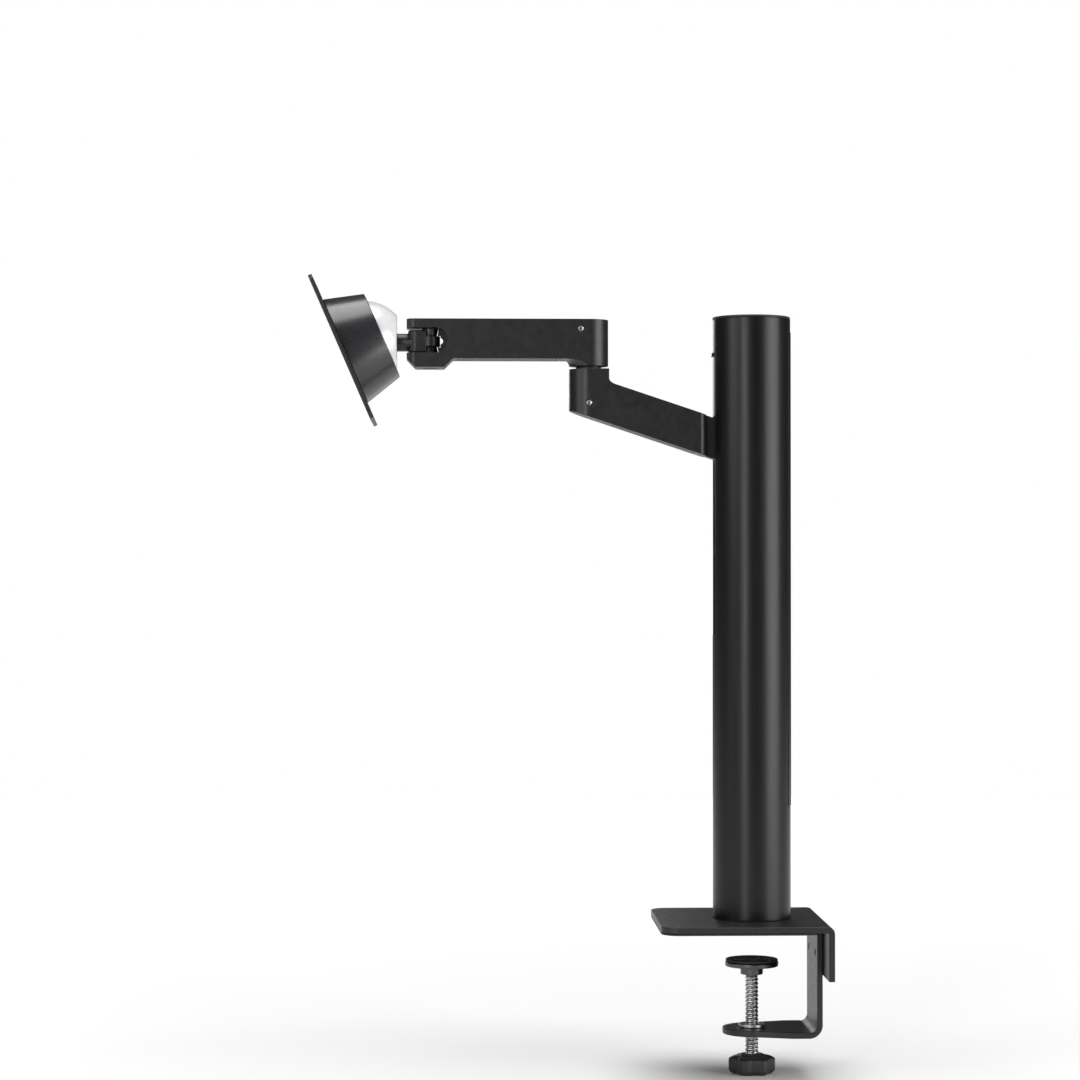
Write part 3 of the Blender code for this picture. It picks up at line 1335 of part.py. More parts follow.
# ---------------------------------------------------------------- assembly
# Each body, where its joint is, and the makers of its sub-parts.
BODIES = {
    "base": ((0, 0, 0), [
        make_base_plate, make_base_pad, make_clamp_bracket, make_bracket_screws, make_clamp_nut,
        make_column_spindle, make_spindle_washer, make_spindle_nut,
    ]),
    "clamp_foot": ((0, 0, FOOT_TOP), [make_clamp_foot, make_foot_pad]),
    "clamp_screw": ((0, 0, FOOT_LOW), [make_clamp_screw, make_clamp_knob]),
    "column": ((0, 0, TUBE_LOW), [
        make_column_tube, make_column_cap, make_rear_cover, make_upper_filler, make_lower_filler,
        make_lower_bush, make_upper_bush, make_guide_rods, make_rail_foot, make_spool_bracket,
    ]),
    "spring_spool": ((SPOOL_X, 0, SPOOL_Z), [make_spring_drum, make_spring_coil]),
    "carriage": ((0, 0, CARRIAGE_LOW), [
        make_carriage_block, make_band_anchor, make_spring_band, make_neck_screws,
        make_lower_link, make_lower_cover, make_elbow_pin, make_lower_set_screw,
    ]),
    "upper_link": ((ELBOW_X, 0, UPPER_HUB_LOW), [
        make_upper_link, make_upper_cover, make_elbow_bush, make_elbow_washer, make_upper_set_screw,
        make_yaw_pin,
    ]),
    "head_yaw": ((YAW_X, 0, FORK_LOW), [make_yaw_knuckle, make_yaw_bushes, make_dome, make_tilt_yoke]),
    "tilt_head": ((TILT_X, 0, ROD_Z), [
        make_tilt_bracket, make_tilt_pin, make_friction_washers, make_tilt_nut, make_pivot_washer,
    ]),
    "pivot_head": ((TILT_X, 0, ROD_Z), [
        make_pivot_hub, make_pivot_nut, make_cone_housing, make_monitor_plate, make_plate_screws,
    ]),
}


def assemble():
    for body, (origin, makers) in BODIES.items():
        joint = bpy.data.objects.new("joint_" + body, None)
        joint.location = origin
        joint.empty_display_size = 0.01
        PARTS.objects.link(joint)
        pieces = []
        for make in makers:
            made = make()
            pieces += made if isinstance(made, list) else [made]
        bpy.context.view_layer.update()
        for piece in pieces:
            piece.parent = joint
            piece.matrix_parent_inverse = joint.matrix_world.inverted()


assemble()
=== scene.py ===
"""The looks of the monitor arm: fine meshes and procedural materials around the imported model."""

import json
import math

import bmesh
import bpy
from mathutils import Matrix, Vector


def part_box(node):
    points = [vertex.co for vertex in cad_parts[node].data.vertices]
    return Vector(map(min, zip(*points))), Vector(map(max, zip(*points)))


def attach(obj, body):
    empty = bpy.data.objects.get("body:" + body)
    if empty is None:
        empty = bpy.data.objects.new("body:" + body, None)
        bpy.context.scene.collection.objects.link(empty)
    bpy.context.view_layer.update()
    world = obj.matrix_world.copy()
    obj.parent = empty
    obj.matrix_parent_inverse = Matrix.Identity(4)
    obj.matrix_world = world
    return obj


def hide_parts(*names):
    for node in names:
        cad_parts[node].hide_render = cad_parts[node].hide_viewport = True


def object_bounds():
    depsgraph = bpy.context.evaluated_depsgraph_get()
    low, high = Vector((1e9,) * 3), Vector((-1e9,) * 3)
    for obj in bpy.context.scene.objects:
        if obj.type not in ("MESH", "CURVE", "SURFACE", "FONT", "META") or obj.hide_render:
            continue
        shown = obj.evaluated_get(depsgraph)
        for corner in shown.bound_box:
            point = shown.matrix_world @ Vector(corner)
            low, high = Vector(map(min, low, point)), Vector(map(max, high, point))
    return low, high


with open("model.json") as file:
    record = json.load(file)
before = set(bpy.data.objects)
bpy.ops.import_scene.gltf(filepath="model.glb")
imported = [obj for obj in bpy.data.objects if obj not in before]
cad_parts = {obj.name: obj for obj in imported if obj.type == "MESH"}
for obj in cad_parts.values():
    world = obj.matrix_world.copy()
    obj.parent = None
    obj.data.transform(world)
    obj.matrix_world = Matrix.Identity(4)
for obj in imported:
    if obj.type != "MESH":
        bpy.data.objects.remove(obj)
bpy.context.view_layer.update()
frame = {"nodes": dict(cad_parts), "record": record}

# ---------------------------------------------------------------- sizes, in metres
GAP = 0.0003  # between two pieces that touch
OVER = 0.001  # how far a cutting solid runs past the face that it opens
ON_AXIS = 1e-7  # a smaller radius is a point on the axis
JOINTS = {joint["name"]: joint for joint in frame["record"]["behaviour"]["joints"]}


def low_of(node):
    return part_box(node)[0]


def high_of(node):
    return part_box(node)[1]


def heights_of(node):
    return low_of(node).z, high_of(node).z


# base and clamp
PLATE_TOP = high_of("base_plate").z
PLATE_T = 0.0045
BASE_FRONT = low_of("base_plate").x
BASE_REAR = high_of("base_plate").x
BASE_HALF_W = high_of("base_plate").y
BASE_CORNER_R = 0.013
BEND_R = 0.005
PAD_INSET = 0.0003
DESK_EDGE = high_of("base_pad").x + PAD_INSET
BRACKET_OUT = high_of("clamp_bracket").x
JAW_TOP = -0.076
JAW_LOW = low_of("clamp_bracket").z

# column
COLUMN_R = high_of("column_tube").x
COLUMN_IN = COLUMN_R - 0.003
SLOT_HALF = 0.0075
COVER_ANGLE = 26  # half of the rear cable cover, in degrees
TUBE_LOW, TUBE_TOP = heights_of("column_tube")
COLUMN_TOP = high_of("column_cap").z

# links
LINK_W = 0.0295
HUB_R = LINK_W / 2 + 0.0001
ELBOW_X = JOINTS["elbow"]["pos_m"][0]
YAW_X = JOINTS["head_yaw"]["pos_m"][0]
FORK_X = YAW_X - 0.0173
UPPER_TOP = high_of("upper_link").z
UPPER_LOW = UPPER_TOP - 0.0297
BOSS_LOW = low_of("upper_link").z
UPPER_HUB_LOW = JOINTS["elbow"]["pos_m"][2]
LOWER_HUB_TOP = high_of("lower_link").z
LOWER_SLOPE = math.radians(18.45)
LOWER_H = 0.031
SLOPE_TOP = LOWER_HUB_TOP - 0.0101
NECK_X = high_of("lower_link").x
NECK_HALF = SLOT_HALF - 0.0006
SHOULDER_X = -COLUMN_R - 0.0055
FORK_LOW = JOINTS["head_yaw"]["pos_m"][2]
FORK_HIGH = FORK_LOW + 0.0188
UPPER_SET_Z = UPPER_TOP - 0.0070
LOWER_SET_Z = LOWER_HUB_TOP - 0.0255
RECESS_REACH = 0.0135  # from the yaw axis to the end of the fork's recesses
SET_SHIFT = 0.0062  # from the elbow's axis to the upper link's grub screw
HEAD_SEAT = UPPER_HUB_LOW + 0.0234
PIN_BORE_R = 0.0063
YAW_SEAT = 0.0035  # depth of the yaw pin's seat in the boss
YAW_ROOF = 0.003  # left above the end of the yaw pin
KNUCKLE_R = 0.0077
KNUCKLE_LOW = FORK_LOW + 0.0008
KNUCKLE_HIGH = FORK_HIGH - 0.0016
BARREL_Z = (KNUCKLE_LOW + KNUCKLE_HIGH) / 2
BARREL_HALF = 0.0039
BUSH_FLANGE_R = 0.0062

# the hollow under each link, the ledge around it and the cover on the ledge
HOLLOW_HALF = 0.011
HOLLOW_ROOF = 0.0055
LEDGE_OUT, LEDGE_HALF, LEDGE_H = 0.0033, 0.0128, 0.0021
COVER_OUT, COVER_HALF, COVER_H = 0.0030, 0.0125, 0.0018

# head
TILT = Vector(JOINTS["tilt"]["pos_m"])
ROD_FRAME = Matrix.Translation(TILT) @ Matrix.Rotation(-math.pi / 2, 4, "Y")
HEAD_DOWN = math.radians(23.5)
HEAD_FRAME = Matrix.Translation(TILT) @ Matrix.Rotation(-math.pi / 2 - HEAD_DOWN, 4, "Y")
ALONG_Y = Matrix.Rotation(-math.pi / 2, 4, "X")
TO_FRONT = Matrix.Rotation(math.pi / 2, 4, "X")
ALONG_X = Matrix.Rotation(math.pi / 2, 4, "Y")
UPSIDE_DOWN = Matrix.Rotation(math.pi, 4, "X")


def at(x, y, z):
    return Matrix.Translation((x, y, z))


# ---------------------------------------------------------------- mesh helpers
def link_mesh(name, solid):
    bmesh.ops.remove_doubles(solid, verts=solid.verts, dist=1e-7)
    bmesh.ops.recalc_face_normals(solid, faces=solid.faces)
    mesh = bpy.data.meshes.new(name)
    solid.to_mesh(mesh)
    solid.free()
    made = bpy.data.objects.new(name, mesh)
    bpy.context.scene.collection.objects.link(made)
    return made


def arc(centre, radius, start, end, steps):
    angles = [math.radians(start + (end - start) * i / steps) for i in range(steps + 1)]
    return [(centre[0] + radius * math.cos(a), centre[1] + radius * math.sin(a)) for a in angles]


def soften(points, size, closed=True, steps=4, only=None):
    """Rounds the corners of an outline, each over at most 0.45 of its shorter side."""
    made = []
    count = len(points)
    for i, here in enumerate(points):
        here = Vector(here)
        before = Vector(points[i - 1]) - here
        after = Vector(points[(i + 1) % count]) - here
        end = not closed and i in (0, count - 1)
        straight = before.length < 1e-9 or after.length < 1e-9
        turn = 0 if straight else math.degrees((-before).angle(after))
        if end or straight or turn < 20 or (only is not None and i not in only):
            made.append(tuple(here))
            continue
        reach = min(size, 0.45 * before.length, 0.45 * after.length)
        a = here + before.normalized() * reach
        b = here + after.normalized() * reach
        for k in range(steps + 1):
            t = k / steps
            made.append(tuple(a * (1 - t) ** 2 + here * 2 * t * (1 - t) + b * t**2))
    return made


def prism(name, outline, low, high):
    """An outline in XY, from the height low to high."""
    solid = bmesh.new()
    lower, upper = ([solid.verts.new((x, y, z)) for x, y in outline] for z in (low, high))
    solid.faces.new(lower)
    solid.faces.new(upper)
    for i in range(len(outline)):
        j = (i + 1) % len(outline)
        solid.faces.new((lower[i], lower[j], upper[j], upper[i]))
    return link_mesh(name, solid)


def side_prism(name, outline, half_width, middle=0.0):
    """An outline in XZ, over half_width to each side of y = middle."""
    return place(prism(name, outline, -half_width, half_width), at(0, middle, 0) @ TO_FRONT)


def lathe(name, profile, steps=128, closed=False, wave=None):
    """A profile of (radius, height) turned about Z. wave(angle, radius) scales each radius."""
    solid = bmesh.new()
    rings = []
    for r, z in profile:
        if r < ON_AXIS:
            rings.append([solid.verts.new((0, 0, z))])
            continue
        around = []
        for k in range(steps):
            a = 2 * math.pi * k / steps
            reach = r * (wave(a, r) if wave else 1)
            around.append(solid.verts.new((reach * math.cos(a), reach * math.sin(a), z)))
        rings.append(around)
    pairs = list(zip(rings, rings[1:]))
    if closed:
        pairs.append((rings[-1], rings[0]))
    for a, b in pairs:
        for k in range(steps):
            n = (k + 1) % steps
            corners = dict.fromkeys((a[k % len(a)], a[n % len(a)], b[n % len(b)], b[k % len(b)]))
            if len(corners) > 2:
                solid.faces.new(list(corners))
    return link_mesh(name, solid)


def ring(name, inner, outer, low, high, steps=128, edge=0.0002):
    profile = soften([(outer, high), (outer, low), (inner, low), (inner, high)], edge)
    return lathe(name, profile, steps, closed=True)


def rod(name, radius, low, high, steps=48):
    return lathe(name, [(0, low), (radius, low), (radius, high), (0, high)], steps)


def box_solid(name, low, high):
    outline = [(low[0], low[1]), (high[0], low[1]), (high[0], high[1]), (low[0], high[1])]
    return prism(name, outline, low[2], high[2])


def place(obj, matrix):
    obj.data.transform(matrix)
    return obj


def bake(obj):
    bpy.context.view_layer.update()
    graph = bpy.context.evaluated_depsgraph_get()
    mesh = bpy.data.meshes.new_from_object(obj.evaluated_get(graph))
    obj.modifiers.clear()
    obj.data = mesh
    return obj


def boolean(target, operation, tools):
    for tool in tools:
        modifier = target.modifiers.new(operation, "BOOLEAN")
        modifier.operation = operation
        modifier.object = tool
        bake(target)
        bpy.data.objects.remove(tool, do_unlink=True)
        solid = bmesh.new()
        solid.from_mesh(target.data)
        bmesh.ops.remove_doubles(solid, verts=solid.verts, dist=1e-6)
        solid.to_mesh(target.data)
        solid.free()
    return target


def cut(target, *tools):
    return boolean(target, "DIFFERENCE", tools)


def join(target, *tools):
    return boolean(target, "UNION", tools)


def common(target, *tools):
    return boolean(target, "INTERSECT", tools)


def bevel(obj, width, angle=32, segments=3):
    modifier = obj.modifiers.new("edges", "BEVEL")
    modifier.width = width
    modifier.segments = segments
    modifier.limit_method = "ANGLE"
    modifier.angle_limit = math.radians(angle)
    modifier.use_clamp_overlap = True
    return bake(obj)


def smooth(obj, angle=35, weighted=True):
    obj.data.shade_smooth()
    obj.data.set_sharp_from_angle(angle=math.radians(angle))
    if weighted:
        modifier = obj.modifiers.new("normals", "WEIGHTED_NORMAL")
        modifier.keep_sharp = True
        modifier.weight = 60
        bake(obj)
    return obj


def hex_cut(target, frame_, across, top, depth):
    """Cuts a hexagon socket, with a small lead-in, down from the height top."""
    outline = arc((0, 0), across / math.sqrt(3), 0, 360, 6)[:-1]
    cut(target, place(prism("socket", outline, top - depth, top + OVER), frame_))
    low, high = top - 0.0004, top + 0.0006
    lead = lathe("lead", [(0, low), (across * 0.52, low), (across * 0.75, high), (0, high)], 48)
    return cut(target, place(lead, frame_))


# ---------------------------------------------------------------- materials
class Nodes:
    """Shorthand for a material's node tree."""

    def __init__(self, name):
        self.material = bpy.data.materials.new(name)
        self.material.use_nodes = True
        self.tree = self.material.node_tree
        self.shader = self.tree.nodes["Principled BSDF"]
        self.coordinates = self.tree.nodes.new("ShaderNodeTexCoord").outputs["Object"]

    def set(self, **values):
        for key, value in values.items():
            self.shader.inputs[key.replace("_", " ")].default_value = value
        return self

    def link(self, a, b):
        self.tree.links.new(a, b)

    def mapped(self, scale):
        mapping = self.tree.nodes.new("ShaderNodeMapping")
        mapping.inputs["Scale"].default_value = scale
        self.link(self.coordinates, mapping.inputs["Vector"])
        return mapping.outputs["Vector"]

    def noise(self, scale, detail=3.0, roughness=0.55, stretch=(1, 1, 1)):
        node = self.tree.nodes.new("ShaderNodeTexNoise")
        node.inputs["Scale"].default_value = scale
        node.inputs["Detail"].default_value = detail
        node.inputs["Roughness"].default_value = roughness
        self.link(self.mapped(stretch), node.inputs["Vector"])
        return node.outputs["Fac"]

    def cells(self, scale):
        node = self.tree.nodes.new("ShaderNodeTexVoronoi")
        node.inputs["Scale"].default_value = scale
        self.link(self.mapped((1, 1, 1)), node.inputs["Vector"])
        return node.outputs["Distance"]

    def ranged(self, value, low, high, from_low=0.3, from_high=0.7):
        node = self.tree.nodes.new("ShaderNodeMapRange")
        node.inputs["From Min"].default_value = from_low
        node.inputs["From Max"].default_value = from_high
        node.inputs["To Min"].default_value = low
        node.inputs["To Max"].default_value = high
        self.link(value, node.inputs["Value"])
        return node.outputs["Result"]

    def colour(self, value, dark, light, low=0.3, high=0.7):
        node = self.tree.nodes.new("ShaderNodeValToRGB")
        node.color_ramp.elements[0].position = low
        node.color_ramp.elements[0].color = (*dark, 1)
        node.color_ramp.elements[1].position = high
        node.color_ramp.elements[1].color = (*light, 1)
        self.link(value, node.inputs["Fac"])
        self.link(node.outputs["Color"], self.shader.inputs["Base Color"])
        return self

    def rough(self, value, low, high):
        self.link(self.ranged(value, low, high), self.shader.inputs["Roughness"])
        return self

    def bump(self, *layers):
        """Layers of (height, strength, distance), the first one lowest."""
        last = None
        for value, strength, distance in layers:
            node = self.tree.nodes.new("ShaderNodeBump")
            node.inputs["Strength"].default_value = strength
            node.inputs["Distance"].default_value = distance
            self.link(value, node.inputs["Height"])
            if last is not None:
                self.link(last, node.inputs["Normal"])
            last = node.outputs["Normal"]
        self.link(last, self.shader.inputs["Normal"])
        return self


def shade(colour, factor):
    return tuple(min(1.0, c * factor) for c in colour)


def powder_coat(name, colour, low=0.36, high=0.46):
    """Painted metal: soft orange peel under a fine grain."""
    n = Nodes(name)
    n.colour(n.noise(60, 4), shade(colour, 0.88), shade(colour, 1.14))
    n.rough(n.noise(180, 3), low, high)
    n.bump((n.noise(520, 2), 0.10, 0.0002), (n.noise(2600, 3), 0.12, 0.00006))
    return n.set(Specular_IOR_Level=0.5).material


def anodised(name, colour):
    """Extruded aluminium, with faint lines along the extrusion."""
    n = Nodes(name)
    lines = n.noise(1.0, 3, 0.6, (1500, 1500, 9))
    n.colour(lines, shade(colour, 0.90), shade(colour, 1.12))
    n.rough(n.noise(1.0, 3, 0.6, (700, 700, 14)), 0.30, 0.37)
    n.bump((lines, 0.07, 0.00006), (n.noise(2400, 3), 0.06, 0.00004))
    return n.set(Metallic=0.25, Specular_IOR_Level=0.5).material


def moulded(name, colour, low, high, grain=1800, depth=0.00005, coat=0.0):
    """Injection-moulded plastic with a fine spark texture."""
    n = Nodes(name)
    n.colour(n.noise(90, 3), shade(colour, 0.92), shade(colour, 1.08))
    n.rough(n.noise(260, 2), low, high)
    n.bump((n.cells(grain), 0.10, depth), (n.noise(grain * 1.7, 2), 0.10, depth))
    return n.set(Coat_Weight=coat, Coat_Roughness=0.2).material


def satin_paint(name, colour):
    """Silver paint: fine flakes under a satin lacquer."""
    n = Nodes(name)
    n.colour(n.cells(5200), shade(colour, 0.985), shade(colour, 1.01), 0.1, 0.6)
    n.rough(n.noise(240, 3), 0.26, 0.33)
    n.bump((n.noise(700, 2), 0.02, 0.00004))
    return n.set(Metallic=0.15, Coat_Weight=0.25, Coat_Roughness=0.22).material


def metal(name, colour, low, high, stretch=(1, 1, 1), scale=900):
    n = Nodes(name)
    grain = n.noise(scale, 4, 0.6, stretch)
    n.colour(n.noise(150, 4), shade(colour, 0.88), shade(colour, 1.08))
    n.rough(grain, low, high)
    n.bump((grain, 0.08, 0.00005))
    return n.set(Metallic=1.0).material


def rubber(name):
    n = Nodes(name)
    n.colour(n.noise(140, 4), (0.014, 0.014, 0.014), (0.026, 0.026, 0.026))
    n.rough(n.noise(500, 3), 0.70, 0.88)
    n.bump((n.noise(1500, 3), 0.25, 0.0001))
    return n.set(Specular_IOR_Level=0.35).material


LOOKS = {
    "satin_black": powder_coat("powder_coat_black", (0.008, 0.008, 0.009)),
    "link_black": powder_coat("painted_aluminium_black", (0.010, 0.010, 0.011), 0.33, 0.42),
    "column_black": anodised("anodised_charcoal", (0.0050, 0.0052, 0.0062)),
    "black_plastic": moulded("moulded_black", (0.016, 0.016, 0.017), 0.42, 0.54),
    "silver_dome": satin_paint("satin_silver_paint", (0.80, 0.80, 0.81)),
    "grey_cone": moulded("moulded_dark_grey", (0.022, 0.022, 0.025), 0.26, 0.32, 2200, 0.00001, 0.3),
    "dark_steel": metal("black_oxide_steel", (0.10, 0.10, 0.105), 0.28, 0.40),
    "zinc_steel": metal("zinc_plated_steel", (0.60, 0.61, 0.63), 0.24, 0.38),
    "rubber": rubber("black_rubber"),
    "nylon": moulded("natural_nylon", (0.66, 0.63, 0.56), 0.40, 0.50),
    "spring_steel": metal("blued_spring_steel", (0.36, 0.38, 0.43), 0.20, 0.32, (1, 40, 1), 60),
}
SLOT_OF = {s["node"]: s["material_slot"] for s in frame["record"]["subparts"]}
BODY_OF = {n: b for b, names in frame["record"]["behaviour"]["bodies"].items() for n in names}


def dress(obj, *nodes, slot=None):
    """Gives a piece the look and the body of the CAD nodes that it stands for."""
    slot = slot or SLOT_OF[nodes[0]]
    obj.data.materials.clear()
    obj.data.materials.append(LOOKS[slot])
    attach(obj, BODY_OF[nodes[0]])
    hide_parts(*nodes)
    return obj


for node, cad in frame["nodes"].items():
    cad.data.materials.clear()
    cad.data.materials.append(LOOKS[SLOT_OF[node]])
    cad.data.shade_smooth()
    cad.data.set_sharp_from_angle(angle=math.radians(32))

# ---------------------------------------------------------------- base and clamp
FLANGE_SCREW = (0.0048, 0.0026, 0.0025)  # radius and height of the head, radius of the shank
PLATE_SCREW = (0.0029, 0.0016, 0.0015)
FLANGE_SCREWS = [at(BASE_REAR - 0.0001, y, -0.018) @ ALONG_X for y in (-0.018, 0.018)]


def sunk_hole(size, length):
    """A hole down from z = 0 for a countersunk screw, with a softened rim."""
    head_r, head_h, shank_r = size
    hole_r, above = shank_r + GAP, 0.002
    profile = [(0, above), (head_r + 0.0021, above), (head_r + 0.0003, 0.0001), (hole_r, -head_h)]
    return lathe("sunk_hole", profile + [(hole_r, -length), (0, -length)], 48)


def sunk_screw(name, size, length, tip, edge, steps):
    """A countersunk screw with its head's face at z = 0. tip is the (width, height) of its chamfered end."""
    head_r, head_h, shank_r = size
    rim = -0.0004
    profile = [(0, 0), (head_r, 0), (head_r, rim), (shank_r, -head_h)]
    profile += [(shank_r, tip[1] - length), (shank_r - tip[0], -length), (0, -length)]
    return lathe(name, soften(profile, edge, closed=False), steps)


def rounded_plan(low, high, radius, steps=24):
    """A rectangle in XY with round corners, with its middle on the X axis."""
    middle = (low[0] + high[0]) / 2
    corners = (180, low[0], low[1]), (270, high[0], low[1]), (0, high[0], high[1]), (90, low[0], high[1])
    made = []
    for start, x, y in corners:
        centre = (x + math.copysign(radius, middle - x), y + math.copysign(radius, -y))
        made += arc(centre, radius, start, start + 90, steps)
    return made


def build_base():
    flange_low = low_of("base_plate").z
    bend = (BASE_REAR - BEND_R, PLATE_TOP - BEND_R)
    side = [(BASE_FRONT, PLATE_TOP - PLATE_T)] + arc(bend, BEND_R - PLATE_T, 90, 0, 10)
    side += [(BASE_REAR - PLATE_T, flange_low), (BASE_REAR, flange_low)] + arc(bend, BEND_R, 0, 90, 24)
    plate = side_prism("base_plate_fine", side + [(BASE_FRONT, PLATE_TOP)], BASE_HALF_W)
    # only the front corners are round, so the plan runs past the rear and a box fills its corners there
    far, wide = BASE_REAR + BASE_CORNER_R, BASE_HALF_W + OVER
    low, high = -0.04, 0.01
    plan = rounded_plan((BASE_FRONT, -BASE_HALF_W), (far, BASE_HALF_W), BASE_CORNER_R)
    keep = prism("keep", plan, low, high)
    tail = box_solid("tail", (BASE_REAR - 0.01, -wide, low), (far, wide, high))
    common(plate, join(keep, tail))
    bevel(plate, 0.0006)
    for spot in FLANGE_SCREWS:
        cut(plate, place(sunk_hole(FLANGE_SCREW, 2 * PLATE_T), spot))
    dress(smooth(plate), "base_plate")

    low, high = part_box("base_pad")
    pad = prism("base_pad_fine", rounded_plan(low, high, BASE_CORNER_R - PAD_INSET), low.z, high.z)
    dress(smooth(bevel(pad, 0.0003)), "base_pad")

    front, leg_top, bend_r = -0.0225, -0.0015, 0.010
    bend = (BRACKET_OUT - bend_r, JAW_LOW + bend_r)
    side = [(front, JAW_TOP), (front, JAW_LOW)] + arc(bend, bend_r, -90, 0, 24)
    side += [(BRACKET_OUT, leg_top), (DESK_EDGE, leg_top)]
    side += arc(bend, bend_r - BRACKET_OUT + DESK_EDGE, 0, -90, 16)[:-1] + [(bend[0], JAW_TOP)]
    bracket = side_prism("clamp_bracket_fine", side, 0.030)
    jaw_r, flared_x, rear_x, wide = 0.022, 0.030, 0.051, 0.0305
    plan = arc((0, 0), jaw_r, 90, 270, 64)
    plan += [(flared_x, -wide), (rear_x, -wide), (rear_x, wide), (flared_x, wide)]
    common(bracket, prism("plan", plan, -0.09, 0.0))
    bevel(bracket, 0.0005)
    cut(bracket, rod("nut_hole", 0.0078, -0.082, -0.075, 64))
    for spot in FLANGE_SCREWS:
        cut(bracket, place(rod("hole", 0.0028, -0.012, 0.001, 32), spot))
    dress(smooth(bracket), "clamp_bracket")

    for k, spot in enumerate(FLANGE_SCREWS, 1):
        screw = sunk_screw(f"bracket_screw_{k}_fine", FLANGE_SCREW, 0.0082, (0.0004, 0.0006), 0.00018, 64)
        hex_cut(screw, Matrix.Identity(4), 0.0032, 0.0, 0.0020)
        dress(smooth(place(screw, spot)), f"bracket_screw_{k}")

    flange_r, barrel_r, bore_r = 0.010, 0.0075, 0.0053
    top, under, low = -0.0735, -0.0757, -0.0805
    profile = [(flange_r, top), (flange_r, under), (barrel_r, under)]
    profile += [(barrel_r, low), (bore_r, low), (bore_r, top)]
    nut = lathe("clamp_nut_fine", soften(profile, 0.0004), 96, closed=True)
    dress(smooth(nut), "clamp_nut")


def threaded_rod(name, radius, depth, pitch, low, high, around=56, levels=190):
    """A rod with a helical thread, which runs out over half a pitch at each end."""
    solid = bmesh.new()
    rings = []
    for level in range(levels + 1):
        z = high - (high - low) * level / levels
        ends = min(1.0, (high - z) / (pitch / 2), (z - low) / (pitch / 2))
        turn = []
        for k in range(around):
            phase = (z / pitch - k / around) % 1.0
            tooth = min(1.0, max(0.0, 2.6 * abs(phase - 0.5) - 0.25))
            r = radius - depth * max(tooth, 1 - ends)
            a = 2 * math.pi * k / around
            turn.append(solid.verts.new((r * math.cos(a), r * math.sin(a), z)))
        rings.append(turn)
    for a, b in zip(rings, rings[1:]):
        for k in range(around):
            n = (k + 1) % around
            solid.faces.new((a[k], a[n], b[n], b[k]))
    solid.faces.new(rings[0])
    solid.faces.new(rings[-1])
    return link_mesh(name, solid)


def build_clamp():
    disc_r, collar_r, neck_r, socket_r = 0.020, 0.0105, 0.0085, 0.0048
    top, under, low, roof = -0.0268, -0.0303, -0.0365, -0.0313
    profile = [(0, top), (disc_r, top), (disc_r, under), (collar_r, under), (neck_r, -0.0315), (neck_r, low)]
    profile += [(socket_r, low), (socket_r, roof), (0, roof)]
    foot = lathe("clamp_foot_fine", soften(profile, 0.0009, closed=False), 128)
    dress(smooth(foot), "clamp_foot")

    low, top, groove = -0.0265, -0.0250, -0.0254
    profile = [(0, low), (0.0195, low), (0.0195, top)]
    for r in (0.0165, 0.0125, 0.0085):
        profile += [(r + 0.0006, top), (r + 0.0003, groove), (r - 0.0003, groove), (r - 0.0006, top)]
    profile = soften(profile + [(0, top)], 0.0003, closed=False, steps=3)
    dress(smooth(lathe("foot_pad_fine", profile, 128)), "foot_pad")

    screw = threaded_rod("clamp_screw_fine", 0.0050, 0.00085, 0.003, -0.1055, -0.0372)
    top, low = -0.0316, -0.0375
    tip = soften([(0, top), (0.0045, top), (0.0041, low), (0, low)], 0.0006, closed=False)
    join(screw, lathe("tip", tip, 48))
    dress(smooth(screw, 50, weighted=False), "clamp_screw")

    rim_r, flute = 0.0175, 0.0016

    def lobes(angle, radius):
        share = min(1.0, max(0.0, (radius - 0.011) / 0.005))
        return 1 + share * (flute / rim_r) * (math.cos(6 * angle) - 1)

    top, foot = -0.096, -0.1105
    floor_, dish = top - 0.0103, foot + 0.0012
    profile = [(0, floor_), (0.0053, floor_), (0.0053, top), (0.0085, top), (0.0095, top - 0.0012)]
    profile += [(0.0140, top - 0.0016), (rim_r, top - 0.0032), (rim_r, foot + 0.0022)]
    profile += [(0.0155, foot), (0.0110, foot), (0.0100, dish), (0, dish)]
    profile = soften(profile, 0.0012, closed=False, steps=5)
    dress(smooth(lathe("clamp_knob_fine", profile, 192, wave=lobes), 50, weighted=False), "clamp_knob")


# ---------------------------------------------------------------- column
def half_angle(half_width, radius):
    return math.degrees(math.asin(half_width / radius))


def strip(outer, inner, half_width, corner, steps=24):
    """The plan of a curved strip at the column's front, with four soft corners."""
    a = half_angle(half_width, outer)
    b = half_angle(half_width, inner)
    points = arc((0, 0), outer, 180 - a, 180 + a, steps) + arc((0, 0), inner, 180 + b, 180 - b, steps)
    return soften(points, corner, only={0, steps, steps + 1, 2 * steps + 1})


